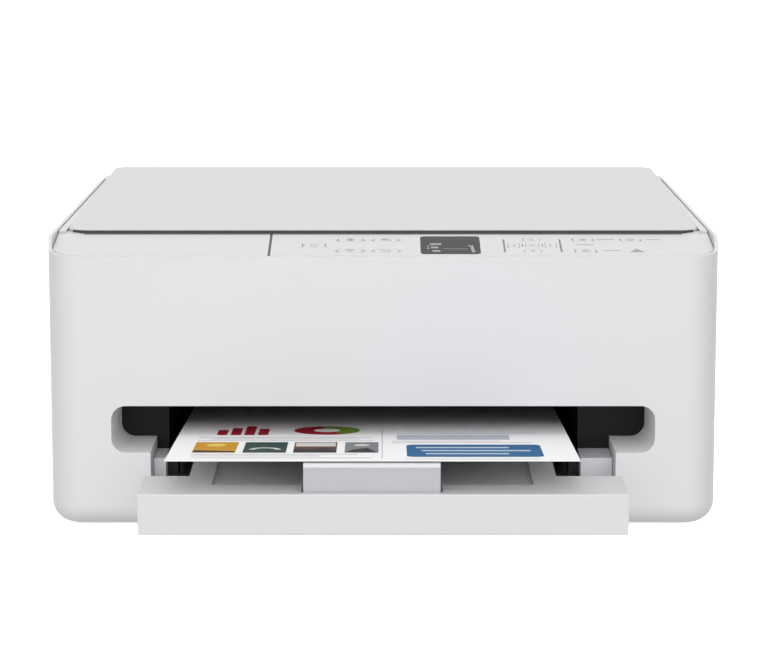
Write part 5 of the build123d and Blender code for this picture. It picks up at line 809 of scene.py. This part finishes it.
class PRINTER_OT_seams(bpy.types.Operator):
    """Lays the dark strip in front of the document cover, painted shade for the gap there, the corners
    beside it and the dark film in the groove
    """

    bl_idname = "printer.seams"
    bl_label = "Fill the seams"

    def execute(self, context):
        low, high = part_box("lid_shell")
        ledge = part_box("scanner_frame")[1].z
        self.seal(low, high, ledge)
        self.corners(high, ledge)
        # a dark grey film along the groove's floor, which darkens the groove
        groove_film = printing_ink("groove_inlay_grey", linear("#4C4D4F"), 0.5)
        groove = panel_matrix(0.02 * MM - GROOVE_DEPTH)
        bm = bmesh.new()
        width = GROOVE_WIDTH - 2 * GROOVE_FILM_GAP
        add_bar(bm, groove, GROOVE_FILM_THICKNESS, GROOVE_X, PANEL_RUN / 2, width, GROOVE_FILM_LENGTH)
        new_piece("groove_inlay", bm, groove_film, "scanner")
        return {"FINISHED"}

    def seal(self, low, high, ledge):
        """A dark band round the cover's front corners, with a lip on the panel's rear edge: painted shade
        for the gap between the panel and the cover's front edge
        """
        front = at_depth(SHADE_STRIP_DEPTH)
        outline = [(low.x + SHADE_STRIP_RADIUS, front), (high.x - SHADE_STRIP_RADIUS, front)]
        for side, centre in ((1, high.x - SHADE_STRIP_RADIUS), (-1, low.x + SHADE_STRIP_RADIUS)):
            arc = []
            for step in range(1, SHADE_STRIP_STEPS + 1):
                angle = math.radians(8.0 * step)
                across = centre + side * SHADE_STRIP_RADIUS * math.sin(angle)
                arc.append((across, front + SHADE_STRIP_RADIUS * (1 - math.cos(angle))))
            outline = outline + arc if side == 1 else list(reversed(arc)) + outline
        bm = bmesh.new()
        strip_wall(bm, outline, SHADE_STRIP_WIDTH, ledge - SHADE_STRIP_SINK, ledge + SHADE_STRIP_PROUD)
        face = panel_matrix(sizes().lift)
        middle = PANEL_RUN + 0.12 * MM - SHADE_STRIP_LIP / 2
        width = 2 * (high.x - SHADE_STRIP_RADIUS + 2.5 * MM)
        add_bar(bm, face, 0.05 * MM, 0, middle, width, SHADE_STRIP_LIP)
        # the dark grey band and lip are painted shade for the gap in front of the cover
        seal = nitrile_rubber("foam_seal_dark", linear("#4B4B4C"))
        new_piece("cover_seal", bm, seal, "scanner")

    def corners(self, high, ledge):
        """Plates level with the panel's rear edge, in the frame's square corners outside the dark strip
        """
        border = high.x + PLATE_REACH
        base = ledge - SHADE_STRIP_SINK
        top = PANEL_EDGE + PANEL_CLIMB + SHADE_STRIP_PROUD
        reach = SHADE_STRIP_RADIUS + PLATE_GAP
        bm = bmesh.new()
        for side in (-1, 1):
            points = [(side * border, at_depth(PLATE_DEPTH))]
            for step in range(5, 15):
                angle = math.radians(5.0 * step)
                x = high.x - SHADE_STRIP_RADIUS + reach * math.sin(angle)
                y = at_depth(SHADE_STRIP_DEPTH) + SHADE_STRIP_RADIUS - reach * math.cos(angle)
                points.append((side * x, y))
            points.append((side * border, y))
            add_shape(bm, Matrix.Translation((0, 0, base)), top - base, *points)
        skin = bpy.data.materials["styrene_body_matte"]
        new_piece("frame_corners", bm, skin, "scanner")


def strip_wall(bm, outline, width, low, high):
    """An upright band along an outline of (x, y) points, as wide as given towards the rear."""
    rings = []
    for x, y in outline:
        corners = ((x, y, low), (x, y + width, low), (x, y + width, high), (x, y, high))
        rings.append([bm.verts.new(corner) for corner in corners])
    for ring, following in zip(rings, rings[1:]):
        for index in range(4):
            after = (index + 1) % 4
            bm.faces.new((ring[index], ring[after], following[after], following[index]))
    bm.faces.new(rings[0])
    bm.faces.new(reversed(rings[-1]))


class PRINTER_OT_screen(bpy.types.Operator):
    """Draws the lit screen under the display window's face"""

    bl_idname = "printer.screen"
    bl_label = "Draw the screen"

    def execute(self, context):
        x, up = panel_place("display")
        flat = panel_matrix(sizes().lift) @ Matrix.Translation((x, up, 0))
        above = flat @ Matrix.Translation((0, 0, 2 * sizes().film))
        for name, code, roughness, gloss, place, marks in (
            ("field", "#48494B", 0.4, 0.04, flat, SCREEN_FIELD),
            ("symbols", "#A2A3A5", 0.3, 0.1, above, SCREEN_SYMBOLS),
            ("rule", "#747577", 0.3, 0.1, above, SCREEN_RULE),
        ):
            lit = printing_ink("liquid_crystal_" + name, linear(code), roughness, gloss)
            print_piece("screen_" + name, lit, place, marks, "scanner")
        return {"FINISHED"}


# Marks on the screen, in millimetres from the display's middle
SCREEN_FIELD = bars(1.2, (0.0, -3.4, 30.6, 26.0))
SCREEN_SYMBOLS = (
    # three stacked level marks at the left, with two short ones beside them
    *bars(0.8, (-8.2, 1.6, 6.4, 3.4), (-8.8, -4.8, 4.2, 3.4), (-7.9, -11.6, 4.4, 3.4)),
    *bars(0.4, (-12.4, -2.6, 1.2, 2.2), (-12.4, -6.6, 1.2, 2.2)),
    # a leaning bar at the right, with a short one beside its head
    ("bar", 12.2, -7.4, 1.8, 14.0, 0.5, 5),
    ("bar", 10.8, -1.8, 2.0, 2.6, 0.5),
)
SCREEN_RULE = bars(0.0, (2.8, -7.6, 13.6, 1.4))


class PRINTER_OT_sheet_print(bpy.types.Operator):
    """Lays the printed design on the sheet in the output tray"""

    bl_idname = "printer.sheet_print"
    bl_label = "Print the sheet"

    def execute(self, context):
        for name, code, level, marks in SHEET_PRINTS:
            jet = printing_ink("jet_ink_" + name, linear(code), 0.5, 0.12)
            place = sheet_matrix(sizes().lift + level * sizes().film)
            print_piece("print_" + name, jet, place, marks, "sheet")
        return {"FINISHED"}


# Marks on the sheet, in millimetres from its front left corner
SHEET_RULES = bars(
    0.0,
    (60.0, 80.0, 96.0, 1.6),
    (60.0, 85.5, 82.0, 1.6),
    (60.0, 91.0, 96.0, 1.6),
    (56.0, 24.0, 88.0, 1.8),
    (46.0, 17.5, 68.0, 1.6),
    (60.0, 10.5, 94.0, 1.6),
    (160.0, 6.0, 70.0, 1.2),
    (156.0, 70.0, 76.0, 1.4),
    (148.0, 76.0, 58.0, 1.4),
)
TILE_LIGHT = (
    ("arc", 50.4, 42.0, 7.0, 3.2, 0, 180, 14),
    ("bar", 77.2, 62.0, 21.4, 15.0),
    ("dot", 102.0, 60.0, 4.2),
)
TILE_DARK = (
    ("shape", (66, 31), (88.4, 31), (88.4, 42), (81, 50), (75, 41), (66, 48)),
    ("shape", (93.4, 31.0), (110.6, 31.0), (105.0, 49.0), (97.0, 42.0)),
    ("shape", (12.6, 31.0), (34.6, 31.0), (34.6, 36.0), (12.6, 40.0)),
)
CHART_RED = (
    ("arc", 82.0, 122.0, 13.0, 11.0, 100, 300, 18),
    ("bar", 24.0, 113.0, 5.6, 22.0),
    ("bar", 31.6, 117.0, 5.6, 30.0),
    ("bar", 39.2, 121.0, 5.6, 38.0),
    ("bar", 46.8, 115.5, 5.6, 27.0),
)
NOTICE_ROWS = bars(
    0.8, (156.0, 50.0, 50.0, 4.4), (163.0, 38.0, 58.0, 4.4), (158.0, 26.0, 44.0, 4.4)
)
# Ink over other ink lies one and a half films higher
OVER = 1.5
SHEET_PRINTS = (
    # grey rules, as long as a line of print, and a ruled gap down the middle
    ("rules", "#B4B5B9", 0, SHEET_RULES),
    ("fold_line", "#C9CBD0", 0, bars(0.0, (113.0, 66.0, 0.6, 112.0))),
    # picture tiles with plain landscapes: an arch, a pale sky, hills and two suns
    ("tile_field", "#D39A1E", 0, bars(0.0, (23.6, 51.0, 23.0, 42.0))),
    ("tile_forest", "#24463F", 0, bars(0.0, (50.4, 51.0, 23.0, 42.0))),
    ("tile_dusk", "#6A4038", 0, bars(0.0, (77.2, 51.0, 23.0, 42.0))),
    ("tile_stone", "#85878C", 0, bars(0.0, (102.0, 51.0, 18.0, 42.0))),
    ("tile_light", "#D9D7D0", OVER, TILE_LIGHT),
    ("tile_dark", "#2E2C30", OVER, TILE_DARK),
    ("tile_gold", "#F0D56A", OVER, (("dot", 23.6, 60.0, 5.4),)),
    # a row of red columns beside a ring chart with a leaf of green
    ("chart_red", "#A81F30", 0, CHART_RED),
    ("chart_green", "#7A9E36", 0, (("arc", 82.0, 122.0, 13.0, 11.0, -60, 100, 16),)),
    # the blue notice with its pale rows, and a soft grey one behind it
    ("notice_blue", "#1A6296", 0, bars(4.0, (162.0, 38.0, 72.0, 48.0))),
    ("notice_rows", "#C4D5E4", OVER, NOTICE_ROWS),
    ("notice_grey", "#C3C7D1", 0, bars(0.0, (152.0, 92.0, 62.0, 20.0), (160.0, 110.0, 78.0, 2.0))),
)


class PRINTER_OT_cover_pad(bpy.types.Operator):
    """Makes the foam-backed white pad under the document cover"""

    bl_idname = "printer.cover_pad"
    bl_label = "Make the cover's pad"

    def execute(self, context):
        low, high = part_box("lid_pad")
        film = moulded_styrene("white_film_on_foam", linear("#F1F1F1"), 0.62, 1.5)
        bm = bmesh.new()
        add_block(bm, high - low, (low + high) / 2)
        half = (high.z - low.z) / 2
        upright = [edge for edge in bm.edges if abs(edge.verts[0].co.z - edge.verts[1].co.z) > half]
        round_off(bm, upright, 5 * MM, 6)
        rim = [edge for edge in bm.edges if all(abs(vert.co.z - low.z) < 1e-7 for vert in edge.verts)]
        round_off(bm, rim, 0.8 * MM, 4)
        pad = new_piece("pressing_pad", bm, film, "lid")
        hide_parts("lid_pad")
        return {"FINISHED"}


def screw_mesh(radius):
    """A pan-head screw, head down to its seat at z = 0, with a cross recess."""
    bm = bmesh.new()
    profile = ((0, 1.9), (0.45, 1.85), (0.8, 1.5), (1.0, 0.9), (1.0, 0.0))
    verts = [bm.verts.new((radius * x, 0, MM * z)) for x, z in profile]
    edges = [bm.edges.new(pair) for pair in zip(verts, verts[1:])]
    bmesh.ops.spin(
        bm,
        geom=verts + edges,
        cent=(0, 0, 0),
        axis=(0, 0, 1),
        angle=2 * math.pi,
        steps=24,
        use_merge=True,
    )
    bmesh.ops.remove_doubles(bm, verts=bm.verts, dist=1e-6)
    bmesh.ops.recalc_face_normals(bm, faces=bm.faces)
    head = bpy.data.meshes.new("screw_head")
    bm.to_mesh(head)
    bm.clear()
    for turn in (0, 90):
        made = add_block(bm, (1.15 * radius, 0.26 * radius, 1.8 * MM), (0, 0, 1.9 * MM))
        bmesh.ops.rotate(bm, matrix=Matrix.Rotation(math.radians(turn), 3, "Z"), verts=made)
    cutter_mesh = bpy.data.meshes.new("screw_recess")
    bm.to_mesh(cutter_mesh)
    bm.free()
    screw = new_object("screw_head", head)
    cutter = new_object("screw_recess", cutter_mesh)
    cut = screw.modifiers.new("recess", "BOOLEAN")
    cut.operation = "DIFFERENCE"
    cut.solver = "EXACT"
    cut.use_self = True
    cut.object = cutter
    shaped = bpy.data.meshes.new_from_object(screw.evaluated_get(bpy.context.evaluated_depsgraph_get()))
    bpy.data.objects.remove(screw)
    bpy.data.objects.remove(cutter)
    return shaped


class PRINTER_OT_screws(bpy.types.Operator):
    """Sets screws in the rear panel, the underside and the chassis"""

    bl_idname = "printer.screws"
    bl_label = "Set the screws"

    def execute(self, context):
        screw = screw_mesh(sizes().screw_head)
        zinc = drawn_steel("zinc_plated_screw", linear("#8F9295"))
        black = drawn_steel("blackened_screw", linear("#3A3B3D"))
        rearward = Matrix.Rotation(math.radians(-90), 4, "X")
        down = Matrix.Rotation(math.radians(180), 4, "X")
        up = Matrix.Identity(4)
        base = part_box("bottom_case")[0].z + 0.6 * MM
        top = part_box("chassis_frame")[1]
        rear_spots = [(x * MM, REAR - 0.4 * MM, z * MM) for x in (-146, 146) for z in (22, 92)]
        base_spots = [(x * MM, at_depth(y), base) for x in (-112, 112) for y in (80, 200, 300)]
        chassis_spots = [(x * MM, top.y - 5 * MM, top.z) for x in (-120, -30, 60, 140)]
        for name, material, slot, turn, spots in (
            ("rear_screws", black, "base_plastic", rearward, rear_spots),
            ("base_screws", black, "base_plastic", down, base_spots),
            ("chassis_screws", zinc, "zinc_sheet", up, chassis_spots),
        ):
            bm = bmesh.new()
            for spot in spots:
                before = len(bm.verts)
                bm.from_mesh(screw)
                bm.verts.ensure_lookup_table()
                place = Matrix.Translation(spot) @ turn
                bmesh.ops.transform(bm, matrix=place, verts=bm.verts[before:])
            new_piece(name, bm, material, "body")
        return {"FINISHED"}


class PRINTER_OT_mechanism_trim(bpy.types.Operator):
    """Adds the encoder strip, the belt's teeth, the cartridges' labels and the light guide"""

    bl_idname = "printer.mechanism_trim"
    bl_label = "Add the mechanism's trim"

    def execute(self, context):
        self.encoder_strip()
        self.belt_teeth()
        self.cartridge_labels()
        self.light_guide()
        return {"FINISHED"}

    def encoder_strip(self):
        """A thin grey film, stretched between the side plates behind the carriage"""
        film = printing_ink("polyester_encoder_film", linear("#9FA3A4"), 0.2)
        low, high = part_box("chassis_frame")
        place = Matrix.Translation((0, at_depth(STRIP_DEPTH), STRIP_HEIGHT))
        upright = place @ Matrix.Rotation(math.radians(90), 4, "X")
        length = high.x - low.x - 14 * MM
        bm = bmesh.new()
        add_bar(bm, upright, 0.15 * MM, 0, 0, length, 6.0 * MM, 1.0 * MM)
        new_piece("encoder_strip", bm, film, "body")

    def belt_teeth(self):
        """Small square teeth on the inside of the belt's two runs, clear of the pulleys"""
        rubber = nitrile_rubber("polyurethane_teeth", linear("#1B1B1C"))
        low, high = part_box("drive_belt")
        belt = 0.8 * MM
        pitch = 2.0 * MM
        clear = 9.0 * MM
        tooth = (1.0 * MM, high.y - low.y - 0.4 * MM, 0.3 * MM)
        seat = 0.125 * MM
        bm = bmesh.new()
        for index in range(int((high.x - low.x - 2 * clear) / pitch)):
            x = low.x + clear + index * pitch
            for z in (low.z + belt, high.z - belt - 2 * seat):
                add_block(bm, tooth, (x, (low.y + high.y) / 2, z + seat))
        new_piece("belt_teeth", bm, rubber, "body")

    def cartridge_labels(self):
        """Plain paper labels on the cartridges, with dots for the inks"""
        for node, code, dots in (
            ("black_cartridge", "#3B3B3D", ("#E9E9EA",)),
            ("colour_cartridge", "#DADADC", ("#2C8FB8", "#C03A78", "#E2BE2A")),
        ):
            low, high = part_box(node)
            middle = (low + high) / 2
            top = Matrix.Translation((middle.x, middle.y + 7 * MM, high.z + 0.02 * MM))
            paper = coated_paper("label_paper_" + node, linear(code))
            bm = bmesh.new()
            width = high.x - low.x - 6 * MM
            add_bar(bm, top, 0.08 * MM, 0, 0, width, 26 * MM, 1.5 * MM)
            new_piece(node + "_label", bm, paper, "carriage")
            above = top @ Matrix.Translation((0, 0, 0.1 * MM))
            for index, dot in enumerate(dots):
                x = (index - (len(dots) - 1) / 2) * 7.5 * MM
                bm = bmesh.new()
                add_dot(bm, above, 0.03 * MM, x, 5 * MM, 2.6 * MM)
                ink = printing_ink(f"label_dot_{node}_{index}", linear(dot))
                new_piece(f"{node}_dot_{index}", bm, ink, "carriage")

    def light_guide(self):
        """The clear rod along the scan head that spreads its lamp's light"""
        low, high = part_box("scan_bar")
        middle = (low + high) / 2
        rod = polished_acrylic("acrylic_light_guide", linear("#D5DEE2"))
        bm = bmesh.new()
        size = (3.0 * MM, high.y - low.y - 14 * MM, 1.0 * MM)
        add_block(bm, size, (middle.x - 4 * MM, middle.y, high.z))
        round_off(bm, bm.edges[:], 0.45 * MM, 3)
        new_piece("light_guide", bm, rod, "scan_head")


class PRINTER_OT_studio(bpy.types.Operator):
    """Sets the pale floor, the soft lights and the camera at the photographed angle"""

    bl_idname = "printer.studio"
    bl_label = "Set the studio"

    def execute(self, context):
        studio = context.scene.printer_studio
        self.floor(studio)
        self.sky(studio)
        self.softboxes(studio)
        self.camera(studio)
        context.scene.view_settings.view_transform = "Standard"
        return {"FINISHED"}

    def floor(self, studio):
        """A wide light table of matt white board. Its glow is seen, but doesn't light the printer
        from below."""
        material, tree, shader, place = new_material("matt_studio_board", shade("floor"), 0.9)
        shader.inputs["Emission Color"].default_value = linear("#FFFFFF")
        shader.inputs["Emission Strength"].default_value = studio.floor_glow
        grain(tree, shader, place, 4 * MM, 0.02 * MM)
        bm = bmesh.new()
        bmesh.ops.create_grid(bm, x_segments=1, y_segments=1, size=FLOOR_HALF)
        mesh = bpy.data.meshes.new("floor")
        bm.to_mesh(mesh)
        bm.free()
        mesh.materials.append(material)
        floor = new_object("floor", mesh)
        floor.visible_diffuse = False

    def sky(self, studio):
        """Even light all round, which falls off with the square of the way to each side and of the
        way down"""
        world = bpy.data.worlds.new("studio")
        world.use_nodes = True
        tree = world.node_tree
        direction = add_node(tree, "ShaderNodeTexCoord").outputs["Generated"]
        split = add_node(tree, "ShaderNodeSeparateXYZ", feeds={"Vector": direction})
        # each row takes a way's last value, works on it with the terms that follow, and keeps it
        last = {"side": split.outputs["X"], "down": split.outputs["Z"]}
        for way, operation, terms in (
            ("side", "ADD", (SKY_SHIFT,)),
            ("side", "MULTIPLY", ("side",)),
            ("side", "MULTIPLY_ADD", (-studio.sky * studio.sky_falloff, studio.sky)),
            ("down", "MINIMUM", (0.0,)),
            ("down", "MULTIPLY", ("down",)),
            ("down", "MULTIPLY_ADD", (-studio.ground_dim, 1.0)),
            ("side", "MULTIPLY", ("down",)),
        ):
            feeds = {0: last[way]}
            for index, term in enumerate(terms, 1):
                feeds[index] = last.get(term, term)
            node = add_node(tree, "ShaderNodeMath", {"operation": operation}, feeds)
            last[way] = node.outputs["Value"]
        sky = tree.nodes["Background"]
        sky.inputs["Color"].default_value = (1.0, 1.0, 1.0, 1.0)
        tree.links.new(last["side"], sky.inputs["Strength"])
        bpy.context.scene.world = world

    def softboxes(self, studio):
        """Large square lamps in front and overhead"""
        for name, power, size, place, aim in (
            ("front_softbox", studio.front_light, 1.8, (0.0, -2.6, 0.8), (0.0, -0.1, 0.08)),
            ("top_softbox", studio.top_light, 2.2, (0.0, 0.1, 2.3), (0.0, 0.05, 0.1)),
        ):
            light = bpy.data.lights.new(name, "AREA")
            light.energy = power
            light.size = size
            lamp = new_object(name, light)
            lamp.location = place
            lamp.rotation_euler = (Vector(aim) - Vector(place)).to_track_quat("-Z", "Y").to_euler()

    def camera(self, studio):
        """The photograph's view: ahead of the middle, a little above, looking down"""
        lens = bpy.data.cameras.new("camera")
        lens.lens = studio.camera_lens
        lens.sensor_width = 36.0
        lens.shift_x = CAMERA_SHIFT
        lens.clip_end = 100.0
        camera = new_object("camera", lens)
        camera.location = (0.0, FRONT - studio.camera_distance, studio.camera_height)
        camera.rotation_euler = (math.radians(90) - studio.camera_pitch, 0.0, 0.0)
        bpy.context.scene.camera = camera


OPERATORS = (
    PRINTER_OT_mouldings,
    PRINTER_OT_metals,
    PRINTER_OT_rubber_glass_paper,
    PRINTER_OT_panel_marks,
    PRINTER_OT_seams,
    PRINTER_OT_screen,
    PRINTER_OT_sheet_print,
    PRINTER_OT_cover_pad,
    PRINTER_OT_screws,
    PRINTER_OT_mechanism_trim,
    PRINTER_OT_studio,
)


class PRINTER_PT_sidebar(bpy.types.Panel):
    """Lists the printer's pieces and settings"""

    bl_idname = "PRINTER_PT_sidebar"
    bl_label = "Inkjet printer"
    bl_space_type = "VIEW_3D"
    bl_region_type = "UI"
    bl_category = "Printer"

    def draw(self, context):
        for operator in OPERATORS:
            self.layout.operator(operator.bl_idname)
        scene = context.scene
        for group in (scene.printer_colours, scene.printer_sizes, scene.printer_studio):
            box = self.layout.box()
            for name in group.__annotations__:
                box.prop(group, name)


CLASSES = (PrinterColours, PrinterSizes, StudioSettings, *OPERATORS, PRINTER_PT_sidebar)


def register():
    for cls in CLASSES:
        bpy.utils.register_class(cls)
    bpy.types.Scene.printer_colours = PointerProperty(type=PrinterColours)
    bpy.types.Scene.printer_sizes = PointerProperty(type=PrinterSizes)
    bpy.types.Scene.printer_studio = PointerProperty(type=StudioSettings)


def unregister():
    del bpy.types.Scene.printer_studio
    del bpy.types.Scene.printer_sizes
    del bpy.types.Scene.printer_colours
    for cls in reversed(CLASSES):
        bpy.utils.unregister_class(cls)


def main():
    register()
    for operator in OPERATORS:
        getattr(bpy.ops.printer, operator.bl_idname.split(".")[1])()


if __name__ == "__main__":
    main()
